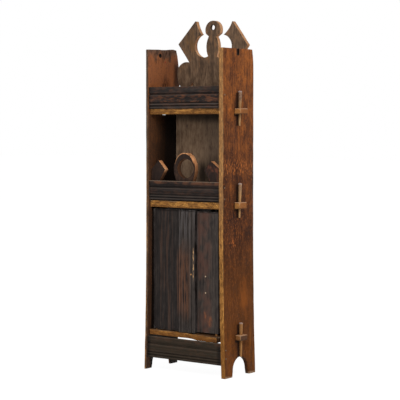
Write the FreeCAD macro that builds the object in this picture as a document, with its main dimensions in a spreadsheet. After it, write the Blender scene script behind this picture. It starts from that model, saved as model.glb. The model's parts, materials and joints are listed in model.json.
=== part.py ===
import FreeCAD, Part
import math
import os
import Sketcher

# A tall knock-down cupboard of wide planks, held together by wedged through tenons.
# Lengths are in millimetres. X runs to the right, Y to the back and Z up,
# from the point on the floor below the middle of the case.

# Driving sizes of the cupboard, one row of the sheet each.
SIZES = {
    # case and its two side planks
    "left_half_width": 244.0,
    "right_half_width": 248.0,
    "case_depth": 262.0,
    "left_side_rise": 304.0,
    "left_top_slope": 10.0,
    "right_side_rise": 299.0,
    "left_side_thickness": 14.0,
    "right_side_thickness": 25.0,
    "splay": 15.0,
    "splay_start_height": 850.0,
    "left_top_curve_depth": 26.0,
    "left_top_curve_height": 180.0,
    "right_top_curve_depth": 10.0,
    "right_top_curve_height": 105.0,
    # bootjack feet
    "arch_height": 97.0,
    "left_arch_radius": 74.0,
    "right_arch_radius": 66.0,
    "left_arch_centre": -7.0,
    "right_arch_centre": 4.0,
    "arch_foot_spread": 5.0,
    # peg holes at the tops of the sides, the right one broken out
    "peg_hole_radius": 4.5,
    "left_peg_hole_drop": 28.0,
    "left_peg_hole_y": -30.0,
    "right_peg_hole_drop": 24.0,
    "right_peg_hole_y": -2.0,
    "peg_notch_width": 13.0,
    # shelves and their tenons
    "bottom_shelf_height": 182.0,
    "bottom_shelf_thickness": 27.0,
    "lower_bay_height": 634.0,
    "middle_shelf_thickness": 34.0,
    "middle_bay_height": 440.0,
    "top_shelf_thickness": 29.0,
    "shelf_recess": 11.0,
    "shelf_corner": 6.0,
    "tenon_width": 58.0,
    "tenon_centre": -2.0,
    "top_tenon_length": 38.0,
    "middle_tenon_length": 33.0,
    "bottom_tenon_length": 30.0,
    "left_tenon_extra": 4.0,
    "mortise_clearance": 0.3,
    "shoulder_clearance": 0.3,
    # keys that lock the tenons
    "key_length": 175.0,
    "key_thickness": 10.0,
    "key_head_width": 18.0,
    "key_foot_width": 8.0,
    "key_crown": 5.0,
    "key_offset": 3.0,
    "key_clearance": 0.4,
    "key_slot_set_in": 2.0,
    "top_key_rise": 88.0,
    "middle_key_rise": 96.0,
    "bottom_key_rise": 62.0,
    # back board and its crest
    "back_thickness": 26.0,
    "back_inset": 6.0,
    "back_clearance": 0.5,
    "crest_base_rise": 109.0,
    "crest_rise": 345.0,
    "crest_half_span": 222.0,
    "crest_axis": 9.0,
    "crest_drop": 18.0,
    "head_shift": 3.0,
    "lobe_radius": 59.0,
    "lobe_rise": 70.0,
    "lobe_clearance": 5.5,
    "hanging_hole_radius": 12.0,
    "hanging_hole_drop": 36.0,
    "hanging_hole_wall": 10.0,
    "hanging_hole_flare": 9.0,
    # reeded rails
    "rail_thickness": 18.0,
    "rail_recess": 6.0,
    "bottom_rail_recess": 3.0,
    "top_rail_width": 111.0,
    "middle_rail_width": 97.0,
    "bottom_rail_width": 110.0,
    "middle_rail_gap": 5.0,
    "bottom_rail_gap": 7.5,
    "rail_end_clearance": 0.4,
    "groove_depth": 4.0,
    # fret board on the middle shelf
    "fret_thickness": 30.0,
    "fret_rise": 245.0,
    "fret_half_span": 220.0,
    "fret_axis": -13.0,
    "fret_opening_width": 106.0,
    "fret_opening_rise": 97.0,
    "fret_opening_height": 166.0,
    "fret_opening_shift": 7.0,
    # doors
    "door_recess": 29.0,
    "door_thickness": 20.0,
    "door_meeting": 65.5,
    "door_meeting_gap": 3.0,
    "left_door_side_gap": 12.0,
    "right_door_side_gap": 25.0,
    "left_door_foot_gap": 3.0,
    "left_door_head_gap": 8.0,
    "right_door_foot_gap": 8.0,
    "right_door_head_gap": 14.0,
    "strip_width": 101.0,
    "strip_thickness": 20.0,
    "batten_width": 50.0,
    "batten_thickness": 18.0,
    "batten_end_margin": 80.0,
    "batten_side_margin": 36.0,
    # door pins and stop
    "pin_radius": 7.0,
    "pin_inset": 16.0,
    "pin_seat": 32.0,
    "pin_reach": 12.0,
    "pin_clearance": 0.1,
    "pin_lift": 9.0,
    "pin_end_gap": 0.3,
    "stop_width": 30.0,
    "stop_depth": 20.0,
    "stop_gap": 0.5,
    "stop_side_gap": 86.0,
    # nails
    "nail_head_radius": 3.8,
    "nail_head_thickness": 1.4,
    "nail_shank_radius": 2.0,
    "nail_length": 44.0,
    "short_nail_length": 32.0,
    "back_nail_margin": 60.0,
    # how far every cutting outline reaches past the wood
    "overrun": 4.0,
}

# Grooves of the rails, from the top edge down, and of the door strip, from its left edge:
# where each starts and ends, as shares of the width.
RAIL_GROOVE_SHARES = ((0.27, 0.36), (0.71, 0.76), (0.84, 0.90))
STRIP_GROOVE_SHARES = ((0.10, 0.16), (0.30, 0.35), (0.43, 0.48), (0.56, 0.61), (0.78, 0.84))

# Nails at each rail end, as shares of the rail's width from its lower edge.
TOP_RAIL_NAIL_SHARES = (0.60,)
MIDDLE_RAIL_NAIL_SHARES = (0.14, 0.72)
BOTTOM_RAIL_NAIL_SHARES = (0.33, 0.71)
BATTEN_NAIL_SHARES = (0.12, 0.50)
STOP_NAIL_SHARES = (0.15, 0.85)

# Half outline of the crest: shares of its half span from the axis, and of its rise.
CREST_SHARES = {
    "wing_root": (0.68, 0.37),
    "wing_point": (1.005, 0.641),
    "wing_tip_outside": (0.5, 0.99),
    "wing_tip_inside": (0.475, 0.986),
    "wing_hollow": (0.422, 0.89),
    "wing_barb": (0.32, 0.789),
    "round_cut_side": (0.515, 0.632),
    "baluster_foot": (0.13, 0.469),
    "baluster_belly": (0.175, 0.62),
    "baluster_neck": (0.108, 0.762),
}

# Points where the right wing was sawn wider than the left.
RIGHT_WING_SHARES = {
    "wing_tip_outside": (0.58, 0.99),
    "wing_tip_inside": (0.565, 0.986),
    "wing_hollow": (0.478, 0.885),
    "round_cut_side": (0.553, 0.632),
}

# Half outline of the finial's head, in the same shares from its own axis.
HEAD_SHARES = {
    "head_corner": (0.203, 0.805),
    "head_top": (0.0, 1.0),
}

# Slot under each lobe: shares of the lobe's radius, outwards and up from its centre.
LOBE_SLOT_SHARES = {
    "slot_mouth": (1.0, -1.16),
    "slot_floor": (0.0, -1.29),
    "slot_end": (-0.88, -0.80),
    "lobe_heel": (-0.743, -0.669),
    "lobe_side": (0.985, 0.17),
}

# Half outline of the fret board: shares of its half span from the axis, and of its rise.
FRET_SHARES = {
    "wing_shoulder": (1.0, 0.65),
    "wing_top": (0.765, 0.842),
    "wing_point": (0.57, 0.65),
    "wing_waist": (0.73, 0.425),
    "valley_outside": (0.82, 0.28),
    "valley_inside": (0.24, 0.28),
    "ring_foot": (0.24, 0.425),
    "ring_bulge": (0.309, 0.66),
    "ring_shoulder": (0.295, 0.79),
    "ring_step": (0.268, 0.80),
    "ring_top": (0.0, 1.0),
}

# Where the curve at the back of each side's top passes, as shares of its depth and height.
TOP_CURVE_SHARES = (0.25, 0.5)


class Term:
    """A length with its value now and the expression that ties it to the sheet."""

    def __init__(self, value, text):
        self.value = value
        self.text = text

    def join(self, other, sign, value, swapped=False):
        other_text = other.text if isinstance(other, Term) else repr(other)
        pair = (other_text, self.text) if swapped else (self.text, other_text)
        return Term(value, "(%s %s %s)" % (pair[0], sign, pair[1]))

    def __add__(self, other):
        return self.join(other, "+", self.value + number(other))

    def __radd__(self, other):
        return self.join(other, "+", number(other) + self.value, True)

    def __sub__(self, other):
        return self.join(other, "-", self.value - number(other))

    def __rsub__(self, other):
        return self.join(other, "-", number(other) - self.value, True)

    def __mul__(self, other):
        return self.join(other, "*", self.value * number(other))

    def __rmul__(self, other):
        return self.join(other, "*", number(other) * self.value, True)

    def __truediv__(self, other):
        return self.join(other, "/", self.value / number(other))

    def __neg__(self):
        return self * -1


class Via:
    """A point that the arc between its two neighbours in an outline passes through."""

    def __init__(self, across, along):
        self.place = (across, along)


class Sizes:
    """The sheet's sizes by name."""

    def __init__(self, table, source):
        for name, value in table.items():
            setattr(self, name, Term(value, "%s.%s" % (source.Name, name)))


def number(item):
    return item.value if isinstance(item, Term) else item


def root(term):
    return Term(math.sqrt(term.value), "sqrt(%s)" % term.text)


def bind(item, path, term):
    """Tie one property of a document object to the sheet."""
    item.setExpression(path, term.text if isinstance(term, Term) else repr(term))


# Document and sheet
doc = FreeCAD.newDocument("cupboard")
sheet = doc.addObject("Spreadsheet::Sheet", "sizes")
for row, (size_name, size_value) in enumerate(SIZES.items(), start=1):
    sheet.set("A%d" % row, size_name)
    sheet.set("B%d" % row, str(size_value))
    sheet.setAlias("B%d" % row, size_name)
doc.recompute()
s = Sizes(SIZES, sheet)
nodes = []


# Sketches and features
def new_body(label):
    body = doc.addObject("PartDesign::Body", label)
    body.Label = label
    nodes.append(body)
    return body


def new_sketch(body, name, role, offset=None):
    """A sketch on one of the body's own planes, or a distance along that plane's normal."""
    sketch = body.newObject("Sketcher::SketchObject", "%s_%s" % (body.Label, name))
    plane = [item for item in body.Origin.OriginFeatures if item.Role == role][0]
    sketch.AttachmentSupport = (plane, "")
    sketch.MapMode = "FlatFace"
    if offset is not None:
        bind(sketch, "AttachmentOffset.Base.z", offset)
    return sketch


def vector(place):
    return FreeCAD.Vector(number(place[0]), number(place[1]), 0)


def hold(sketch, geometry, end, place, tag):
    """Hold a sketch point at a place that the sheet gives, measured from the sketch's origin."""
    for kind, term in (("DistanceX", place[0]), ("DistanceY", place[1])):
        rule = Sketcher.Constraint(kind, -1, 1, geometry, end, number(term))
        index = sketch.addConstraint(rule)
        sketch.renameConstraint(index, "%s_%s" % (kind, tag))
        bind(sketch, "Constraints.%s_%s" % (kind, tag), term)


def draw(sketch, outline):
    """Draw a closed outline of lines, and of arcs where a Via stands between two corners."""
    first = sketch.GeometryCount
    corners = [item for item in outline if not isinstance(item, Via)]
    edges = []
    for index, item in enumerate(outline):
        if isinstance(item, Via):
            continue
        after = outline[(index + 1) % len(outline)]
        end = outline[(index + 2) % len(outline)] if isinstance(after, Via) else after
        edges.append((item, after.place if isinstance(after, Via) else None, end))
    ends = []
    for start, through, end in edges:
        if through is None:
            curve = Part.LineSegment(vector(start), vector(end))
        else:
            curve = Part.Arc(vector(start), vector(through), vector(end))
        geometry = sketch.addGeometry(curve)
        forwards = sketch.getPoint(geometry, 1).distanceToPoint(vector(start)) < \
            sketch.getPoint(geometry, 2).distanceToPoint(vector(start))
        ends.append((geometry, 1, 2) if forwards else (geometry, 2, 1))
    for index in range(len(corners)):
        before = ends[index - 1]
        here = ends[index]
        sketch.addConstraint(Sketcher.Constraint("Coincident", before[0], before[2], here[0], here[1]))
    for index, (start, through, end) in enumerate(edges):
        tag = "%d" % (first + index)
        hold(sketch, ends[index][0], ends[index][1], start, tag)
        if through is not None:
            point = sketch.addGeometry(Part.Point(vector(through)), True)
            hold(sketch, point, 1, through, tag + "_via")
            sketch.addConstraint(Sketcher.Constraint("PointOnObject", point, 1, ends[index][0]))


def draw_box(sketch, low, high):
    draw(sketch, [low, (high[0], low[1]), high, (low[0], high[1])])


def draw_circle(sketch, centre, radius):
    circle = Part.Circle(vector(centre), FreeCAD.Vector(0, 0, 1), number(radius))
    geometry = sketch.addGeometry(circle)
    hold(sketch, geometry, 3, centre, "%d" % geometry)
    index = sketch.addConstraint(Sketcher.Constraint("Radius", geometry, number(radius)))
    sketch.renameConstraint(index, "radius_%d" % geometry)
    bind(sketch, "Constraints.radius_%d" % geometry, radius)


def pad(body, sketch, length, both_ways=True):
    feature = body.newObject("PartDesign::Pad", body.Label + "_pad")
    feature.Profile = sketch
    feature.SideType = "Symmetric" if both_ways else "One side"
    bind(feature, "Length", length)
    doc.recompute()
    return feature


def cut(body, sketch, depth=None, towards_normal=False):
    """Cut right through, or to a depth against or along the sketch's normal."""
    before = body.Shape.Volume
    feature = body.newObject("PartDesign::Pocket", sketch.Label + "_cut")
    feature.Profile = sketch
    if depth is None:
        feature.Type = "ThroughAll"
        feature.SideType = "Symmetric"
    else:
        feature.Type = "Length"
        feature.Reversed = towards_normal
        bind(feature, "Length", depth)
    doc.recompute()
    if not body.Shape.Volume < before:
        raise RuntimeError("%s cuts nothing" % feature.Label)
    return feature


def turn(body, sketch):
    """Cut by turning the outline once about its own first edge."""
    before = body.Shape.Volume
    feature = body.newObject("PartDesign::Groove", sketch.Label + "_groove")
    feature.Profile = sketch
    feature.ReferenceAxis = (sketch, ["Edge1"])
    doc.recompute()
    if not body.Shape.Volume < before:
        raise RuntimeError("%s cuts nothing" % feature.Label)
    return feature


def place(body, x=None, y=None, z=None):
    for axis, term in (("x", x), ("y", y), ("z", z)):
        if term is not None:
            bind(body, ".Placement.Base.%s" % axis, term)


# Places shared by several pieces
front_y = s.case_depth * -0.5
back_y = s.case_depth * 0.5
back_board_y = back_y - s.back_inset - s.back_thickness
head_axis = s.crest_axis + s.head_shift
splay_radius = (s.splay_start_height * s.splay_start_height + s.splay * s.splay) / (s.splay * 2)
side_thickness = {"left": s.left_side_thickness, "right": s.right_side_thickness}
half_width = {"left": s.left_half_width, "right": s.right_half_width}
outwards = {"left": -1, "right": 1}


def lean(height, thickness):
    """How far a side leans out at a height; its inner face turns about the outer face's centre."""
    if number(height) >= s.splay_start_height.value:
        return s.splay * 0
    drop = s.splay_start_height - height
    radius = splay_radius + thickness
    return radius - root(radius * radius - drop * drop)


def outer_face(side, height):
    return half_width[side] + lean(height, 0)


def inner_face(side, height):
    thickness = side_thickness[side]
    return half_width[side] - thickness + lean(height, thickness)


class Shelf:
    """Where one shelf lies, and the keys that lock its tenons."""

    def __init__(self, name, base, thickness, tenon_length, key_rise):
        self.name = name
        self.base = base
        self.thickness = thickness
        self.top = base + thickness
        self.tenon_length = tenon_length
        self.key_top = self.top + key_rise
        self.key_foot = self.key_top - s.key_length

    def tenon_end(self, side):
        extra = s.left_tenon_extra if side == "left" else 0
        return outer_face(side, self.top) + self.tenon_length + extra

    def key_inner(self, side, height):
        """Inner face of the key at a height: the chord of the side's outer face, held just clear."""
        foot = outer_face(side, self.key_foot) + s.key_clearance
        head = outer_face(side, self.key_top) + s.key_clearance
        return foot + (head - foot) * (height - self.key_foot) / s.key_length

    def key_width(self, height):
        return s.key_foot_width + (s.key_head_width - s.key_foot_width) * (
            height - self.key_foot) / s.key_length


bottom_shelf = Shelf("bottom", s.bottom_shelf_height, s.bottom_shelf_thickness,
                     s.bottom_tenon_length, s.bottom_key_rise)
middle_shelf = Shelf("middle", bottom_shelf.top + s.lower_bay_height, s.middle_shelf_thickness,
                     s.middle_tenon_length, s.middle_key_rise)
top_shelf = Shelf("top", middle_shelf.top + s.middle_bay_height, s.top_shelf_thickness,
                  s.top_tenon_length, s.top_key_rise)
shelves = [top_shelf, middle_shelf, bottom_shelf]
left_top_front = top_shelf.top + s.left_side_rise
side_top = {"left": left_top_front + s.left_top_slope, "right": top_shelf.top + s.right_side_rise}
crest_base = top_shelf.top + s.crest_base_rise
tenon_front = s.tenon_centre - s.tenon_width * 0.5
tenon_back = s.tenon_centre + s.tenon_width * 0.5
key_y = s.tenon_centre + s.key_offset
shelf_front = front_y + s.shelf_recess

# Doors: hinge axes, edges and heights
door_y = front_y + s.door_recess + s.door_thickness * 0.5
left_door = {
    "hinge_edge": s.left_door_side_gap - inner_face("left", middle_shelf.base),
    "free_edge": s.door_meeting - s.door_meeting_gap * 0.5,
    "foot": bottom_shelf.top + s.left_door_foot_gap,
    "head": middle_shelf.base - s.left_door_head_gap,
}
right_door = {
    "hinge_edge": inner_face("right", middle_shelf.base) - s.right_door_side_gap,
    "free_edge": s.door_meeting + s.door_meeting_gap * 0.5,
    "foot": bottom_shelf.top + s.right_door_foot_gap,
    "head": middle_shelf.base - s.right_door_head_gap,
}
left_door["axis"] = left_door["hinge_edge"] + s.pin_inset
right_door["axis"] = right_door["hinge_edge"] - s.pin_inset


# Side planks
def make_side(side, arch_radius, arch_centre, curve_depth, curve_height):
    sign = outwards[side]
    top = side_top[side]
    start = s.splay_start_height
    body = new_body(side + "_side")
    profile = new_sketch(body, "profile", "XZ_Plane")
    draw(profile, [
        (outer_face(side, start * 0) * sign, start * 0),
        Via(outer_face(side, start * 0.5) * sign, start * 0.5),
        (outer_face(side, start) * sign, start),
        (outer_face(side, start) * sign, top),
        (inner_face(side, start) * sign, top),
        (inner_face(side, start) * sign, start),
        Via(inner_face(side, start * 0.5) * sign, start * 0.5),
        (inner_face(side, start * 0) * sign, start * 0),
    ])
    pad(body, profile, s.case_depth)

    arch = new_sketch(body, "arch", "YZ_Plane")
    spring = s.arch_height - arch_radius
    foot = arch_radius + s.arch_foot_spread
    draw(arch, [
        (arch_centre - foot, -s.overrun),
        (arch_centre + foot, -s.overrun),
        (arch_centre + foot, start * 0),
        (arch_centre + arch_radius, spring),
        Via(arch_centre, s.arch_height),
        (arch_centre - arch_radius, spring),
        (arch_centre - foot, start * 0),
    ])
    cut(body, arch)

    curve = new_sketch(body, "top_curve", "YZ_Plane")
    past_back = back_y + s.overrun
    past_top = top + s.overrun
    curve_foot = top - curve_height
    draw(curve, [
        (back_y, curve_foot),
        (past_back, curve_foot),
        (past_back, past_top),
        (back_y - curve_depth, past_top),
        (back_y - curve_depth, top),
        Via(back_y - curve_depth * TOP_CURVE_SHARES[0],
            curve_foot + curve_height * TOP_CURVE_SHARES[1]),
    ])
    cut(body, curve)

    mortises = new_sketch(body, "mortises", "YZ_Plane")
    gap = s.mortise_clearance
    for shelf in shelves:
        draw_box(mortises, (tenon_front - gap, shelf.base - gap), (tenon_back + gap, shelf.top + gap))
    cut(body, mortises)
    return body


left_side = make_side("left", s.left_arch_radius, s.left_arch_centre, s.left_top_curve_depth,
                      s.left_top_curve_height)
peg_hole = new_sketch(left_side, "peg_hole", "YZ_Plane")
draw_circle(peg_hole, (s.left_peg_hole_y, left_top_front - s.left_peg_hole_drop), s.peg_hole_radius)
cut(left_side, peg_hole)
top_slope = new_sketch(left_side, "top_slope", "YZ_Plane")
draw(top_slope, [
    (front_y - s.overrun, left_top_front),
    (front_y, left_top_front),
    (back_y, side_top["left"]),
    (back_y, side_top["left"] + s.overrun),
    (front_y - s.overrun, side_top["left"] + s.overrun),
])
cut(left_side, top_slope)

right_side = make_side("right", s.right_arch_radius, s.right_arch_centre, s.right_top_curve_depth,
                       s.right_top_curve_height)
peg_notch = new_sketch(right_side, "peg_notch", "YZ_Plane")
notch_low = side_top["right"] - s.right_peg_hole_drop
notch_high = side_top["right"] + s.overrun
draw(peg_notch, [
    (s.right_peg_hole_y - s.peg_notch_width * 0.5, notch_high),
    (s.right_peg_hole_y - s.peg_hole_radius, notch_low),
    Via(s.right_peg_hole_y, notch_low - s.peg_hole_radius),
    (s.right_peg_hole_y + s.peg_hole_radius, notch_low),
    (s.right_peg_hole_y + s.peg_notch_width * 0.5, notch_high),
])
cut(right_side, peg_notch)


# Shelves with through tenons, each tenon slotted for its key
def make_shelf(shelf):
    body = new_body(shelf.name + "_shelf")
    place(body, z=shelf.base)
    board = new_sketch(body, "board", "XY_Plane")
    left_end = s.shoulder_clearance - inner_face("left", shelf.top)
    right_end = inner_face("right", shelf.top) - s.shoulder_clearance
    left_tenon = -shelf.tenon_end("left")
    right_tenon = shelf.tenon_end("right")
    corner = s.shelf_corner
    draw(board, [
        (left_end, shelf_front + corner),
        (left_end + corner, shelf_front),
        (right_end - corner, shelf_front),
        (right_end, shelf_front + corner),
        (right_end, tenon_front),
        (right_tenon, tenon_front),
        (right_tenon, tenon_back),
        (right_end, tenon_back),
        (right_end, back_board_y),
        (left_end, back_board_y),
        (left_end, tenon_back),
        (left_tenon, tenon_back),
        (left_tenon, tenon_front),
        (left_end, tenon_front),
    ])
    pad(body, board, shelf.thickness, both_ways=False)

    slots = new_sketch(body, "key_slots", "XY_Plane")
    half_slot = s.key_thickness * 0.5 + s.key_clearance
    for side, sign in outwards.items():
        slot_start = outer_face(side, shelf.top) - s.key_slot_set_in
        slot_end = shelf.key_inner(side, shelf.top) + shelf.key_width(shelf.top) + s.key_clearance
        draw_box(slots, (slot_start * sign, key_y - half_slot), (slot_end * sign, key_y + half_slot))
    cut(body, slots)
    return body


def bore_shelf(body, offset, depth, towards_normal):
    """Blind holes that the door pins turn in."""
    holes = new_sketch(body, "pin_holes", "XY_Plane", offset)
    for door in (left_door, right_door):
        draw_circle(holes, (door["axis"], door_y), s.pin_radius + s.pin_clearance)
    cut(body, holes, depth, towards_normal)


for one_shelf in shelves:
    shelf_body = make_shelf(one_shelf)
    if one_shelf is middle_shelf:
        bore_shelf(shelf_body, one_shelf.base * 0, s.pin_reach + s.pin_lift, True)
    if one_shelf is bottom_shelf:
        bore_shelf(shelf_body, one_shelf.thickness, s.pin_reach + s.pin_end_gap, False)


# Keys
def make_key(shelf, side):
    sign = outwards[side]
    body = new_body("%s_%s_key" % (shelf.name, side))
    place(body, y=key_y)
    profile = new_sketch(body, "profile", "XZ_Plane")
    shoulder = shelf.key_top - s.key_crown
    foot_x = shelf.key_inner(side, shelf.key_foot)
    head_x = shelf.key_inner(side, shelf.key_top)
    draw(profile, [
        (foot_x * sign, shelf.key_foot),
        ((foot_x + s.key_foot_width) * sign, shelf.key_foot),
        ((head_x + s.key_head_width) * sign, shoulder),
        Via((head_x + s.key_head_width * 0.5) * sign, shelf.key_top),
        (head_x * sign, shoulder),
    ])
    pad(body, profile, s.key_thickness)


for one_shelf in shelves:
    for one_side in ("left", "right"):
        make_key(one_shelf, one_side)


# Back board with its fretted crest
def crest_point(name, sign):
    """A point of the crest, whose right end hangs lower than its left."""
    across, up = CREST_SHARES[name]
    if sign > 0 and name in RIGHT_WING_SHARES:
        across, up = RIGHT_WING_SHARES[name]
    drop = s.crest_drop * (across * sign * 0.5)
    return (s.crest_axis + s.crest_half_span * (across * sign), crest_base + s.crest_rise * up - drop)


def head_point(name, sign):
    across, up = HEAD_SHARES[name]
    return (head_axis + s.crest_half_span * (across * sign), crest_base + s.crest_rise * up)


def lobe_point(name, centre, sign):
    across, up = LOBE_SLOT_SHARES[name]
    return (centre + s.lobe_radius * (across * sign), crest_base + s.lobe_rise + s.lobe_radius * up)


def back_half(side):
    """Half outline of the back board, from its foot up to the finial's head corner."""
    sign = outwards[side]
    thickness = side_thickness[side]
    foot = bottom_shelf.base
    start = s.splay_start_height
    half_way = (foot + start) * 0.5
    edge = (inner_face(side, start) - s.back_clearance) * sign
    lobe = edge - (s.lobe_radius + s.lobe_clearance) * sign
    mouth = lobe_point("slot_mouth", lobe, sign)
    return [
        (edge + lean(foot, thickness) * sign, foot),
        Via(edge + lean(half_way, thickness) * sign, half_way),
        (edge, start),
        (edge, mouth[1]),
        Via(*lobe_point("slot_floor", lobe, sign)),
        lobe_point("slot_end", lobe, sign),
        lobe_point("lobe_heel", lobe, sign),
        Via(*lobe_point("lobe_side", lobe, sign)),
        crest_point("wing_root", sign),
        crest_point("wing_point", sign),
        crest_point("wing_tip_outside", sign),
        crest_point("wing_tip_inside", sign),
        Via(*crest_point("wing_hollow", sign)),
        crest_point("wing_barb", sign),
        Via(*crest_point("round_cut_side", sign)),
        crest_point("baluster_foot", sign),
        Via(*crest_point("baluster_belly", sign)),
        crest_point("baluster_neck", sign),
        head_point("head_corner", sign),
    ]


back_board = new_body("back_board")
place(back_board, y=back_board_y + s.back_thickness * 0.5)
back_outline = new_sketch(back_board, "outline", "XZ_Plane")
draw(back_outline,
     back_half("right") + [Via(*head_point("head_top", 1))] + back_half("left")[::-1])
pad(back_board, back_outline, s.back_thickness)

# Hanging hole, turned about its own axis: a straight wall at the front, flared to the back
hole_z = crest_base + s.crest_rise - s.hanging_hole_drop
wall_end = s.hanging_hole_wall - s.back_thickness * 0.5
hole_end = s.back_thickness * 0.5
hanging_hole = new_sketch(back_board, "hanging_hole", "XY_Plane", hole_z)
draw(hanging_hole, [
    (head_axis, hole_end),
    (head_axis, -hole_end),
    (head_axis + s.hanging_hole_radius, -hole_end),
    (head_axis + s.hanging_hole_radius, wall_end),
    (head_axis + s.hanging_hole_radius + s.hanging_hole_flare, hole_end),
])
turn(back_board, hanging_hole)


# Reeded rails: planks with grooves ploughed along their front faces
def make_rail(name, foot, width, recess):
    body = new_body(name + "_rail")
    place(body, y=front_y + recess + s.rail_thickness * 0.5)
    head = foot + width
    gap = s.rail_end_clearance
    board = new_sketch(body, "board", "XZ_Plane")
    draw(board, [
        (gap - inner_face("left", foot), foot),
        (inner_face("right", foot) - gap, foot),
        (inner_face("right", head) - gap, head),
        (gap - inner_face("left", head), head),
    ])
    pad(body, board, s.rail_thickness)
    grooves = new_sketch(body, "grooves", "YZ_Plane")
    face = s.rail_thickness * -0.5
    for start_share, end_share in RAIL_GROOVE_SHARES:
        lip = width * ((end_share - start_share) * 0.2)
        draw(grooves, [
            (face - s.overrun, head - width * start_share),
            (face, head - width * start_share),
            (face + s.groove_depth, head - width * start_share - lip),
            (face + s.groove_depth, head - width * end_share + lip),
            (face, head - width * end_share),
            (face - s.overrun, head - width * end_share),
        ])
    cut(body, grooves)
    return {"name": name, "foot": foot, "width": width, "y": front_y + recess + s.rail_thickness * 0.5}


rails = [
    (make_rail("top", top_shelf.top, s.top_rail_width, s.rail_recess), TOP_RAIL_NAIL_SHARES),
    (make_rail("middle", middle_shelf.top + s.middle_rail_gap, s.middle_rail_width, s.rail_recess),
     MIDDLE_RAIL_NAIL_SHARES),
    (make_rail("bottom", bottom_shelf.base - s.bottom_rail_gap - s.bottom_rail_width,
               s.bottom_rail_width, s.bottom_rail_recess), BOTTOM_RAIL_NAIL_SHARES),
]


# Fret board that stands on the middle shelf behind the middle rail
def fret_point(name, sign):
    across, up = FRET_SHARES[name]
    return (s.fret_axis + s.fret_half_span * (across * sign), middle_shelf.top + s.fret_rise * up)


def fret_half(side):
    sign = outwards[side]
    edge = (inner_face(side, s.splay_start_height) - s.back_clearance) * sign
    shoulder = fret_point("wing_shoulder", sign)
    return [
        (edge, middle_shelf.top),
        (edge, shoulder[1]),
        fret_point("wing_top", sign),
        fret_point("wing_point", sign),
        fret_point("wing_waist", sign),
        fret_point("valley_outside", sign),
        fret_point("valley_inside", sign),
        fret_point("ring_foot", sign),
        Via(*fret_point("ring_bulge", sign)),
        fret_point("ring_shoulder", sign),
        fret_point("ring_step", sign),
    ]


fret_board = new_body("fret_board")
fret_front = front_y + s.rail_recess + s.rail_thickness
place(fret_board, y=fret_front + s.fret_thickness * 0.5)
fret_outline = new_sketch(fret_board, "outline", "XZ_Plane")
draw(fret_outline, fret_half("right") + [Via(*fret_point("ring_top", 1))] + fret_half("left")[::-1])
pad(fret_board, fret_outline, s.fret_thickness)
fret_opening = new_sketch(fret_board, "opening", "XZ_Plane")
opening_x = s.fret_axis + s.fret_opening_shift
opening_z = middle_shelf.top + s.fret_opening_height
draw(fret_opening, [
    (opening_x - s.fret_opening_width * 0.5, opening_z),
    Via(opening_x, opening_z + s.fret_opening_rise * 0.5),
    (opening_x + s.fret_opening_width * 0.5, opening_z),
    Via(opening_x, opening_z - s.fret_opening_rise * 0.5),
])
cut(fret_board, fret_opening)


# Doors
def make_plank(label, low, high, thickness, y):
    """A plain upright plank between two corners seen from the front, centred on y."""
    body = new_body(label)
    place(body, y=y)
    board = new_sketch(body, "board", "XZ_Plane")
    draw_box(board, low, high)
    pad(body, board, thickness)
    return body


def bore_door(body, door):
    """Blind holes in the board's ends that the pins are driven into."""
    ends = (("lower_pin_hole", door["foot"], True), ("upper_pin_hole", door["head"], False))
    for name, height, upwards in ends:
        hole = new_sketch(body, name, "XY_Plane", height)
        draw_circle(hole, (door["axis"], s.pin_radius * 0), s.pin_radius)
        cut(body, hole, s.pin_seat, upwards)


def cylinder(name, radius, height, x, y, z):
    item = doc.addObject("Part::Cylinder", name)
    bind(item, "Radius", radius)
    bind(item, "Height", height)
    place(item, x, y, z)
    return item


def gather(label, items):
    """Several like solids that share one node."""
    group = doc.addObject("Part::Compound", label)
    group.Label = label
    group.Links = items
    nodes.append(group)


def make_pins(label, door):
    lower_foot = bottom_shelf.top - s.pin_reach
    lower_length = door["foot"] + s.pin_seat - lower_foot
    upper_foot = door["head"] - s.pin_seat
    upper_length = middle_shelf.base + s.pin_reach - upper_foot
    gather(label, [
        cylinder(label + "_lower", s.pin_radius, lower_length, door["axis"], door_y, lower_foot),
        cylinder(label + "_upper", s.pin_radius, upper_length, door["axis"], door_y, upper_foot),
    ])


left_board = make_plank("left_door_board", (left_door["hinge_edge"], left_door["foot"]),
                        (left_door["free_edge"], left_door["head"]), s.door_thickness, door_y)
bore_door(left_board, left_door)
make_pins("left_door_pins", left_door)

right_board = make_plank("right_door_board", (right_door["free_edge"], right_door["foot"]),
                         (right_door["hinge_edge"], right_door["head"]), s.door_thickness, door_y)
bore_door(right_board, right_door)
make_pins("right_door_pins", right_door)

# Reeded strip along the left door's free edge
strip_left = left_door["free_edge"] - s.strip_width
strip_y = door_y - (s.door_thickness + s.strip_thickness) * 0.5
strip = make_plank("left_door_strip", (strip_left, left_door["foot"]),
                   (left_door["free_edge"], left_door["head"]), s.strip_thickness, strip_y)
reeds = new_sketch(strip, "reeds", "XY_Plane")
for reed_start_share, reed_end_share in STRIP_GROOVE_SHARES:
    reed_lip = s.strip_width * ((reed_end_share - reed_start_share) * 0.2)
    reed_face = s.strip_thickness * -0.5
    draw(reeds, [
        (strip_left + s.strip_width * reed_start_share, reed_face - s.overrun),
        (strip_left + s.strip_width * reed_end_share, reed_face - s.overrun),
        (strip_left + s.strip_width * reed_end_share, reed_face),
        (strip_left + s.strip_width * reed_end_share - reed_lip, reed_face + s.groove_depth),
        (strip_left + s.strip_width * reed_start_share + reed_lip, reed_face + s.groove_depth),
        (strip_left + s.strip_width * reed_start_share, reed_face),
    ])
cut(strip, reeds)

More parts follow.
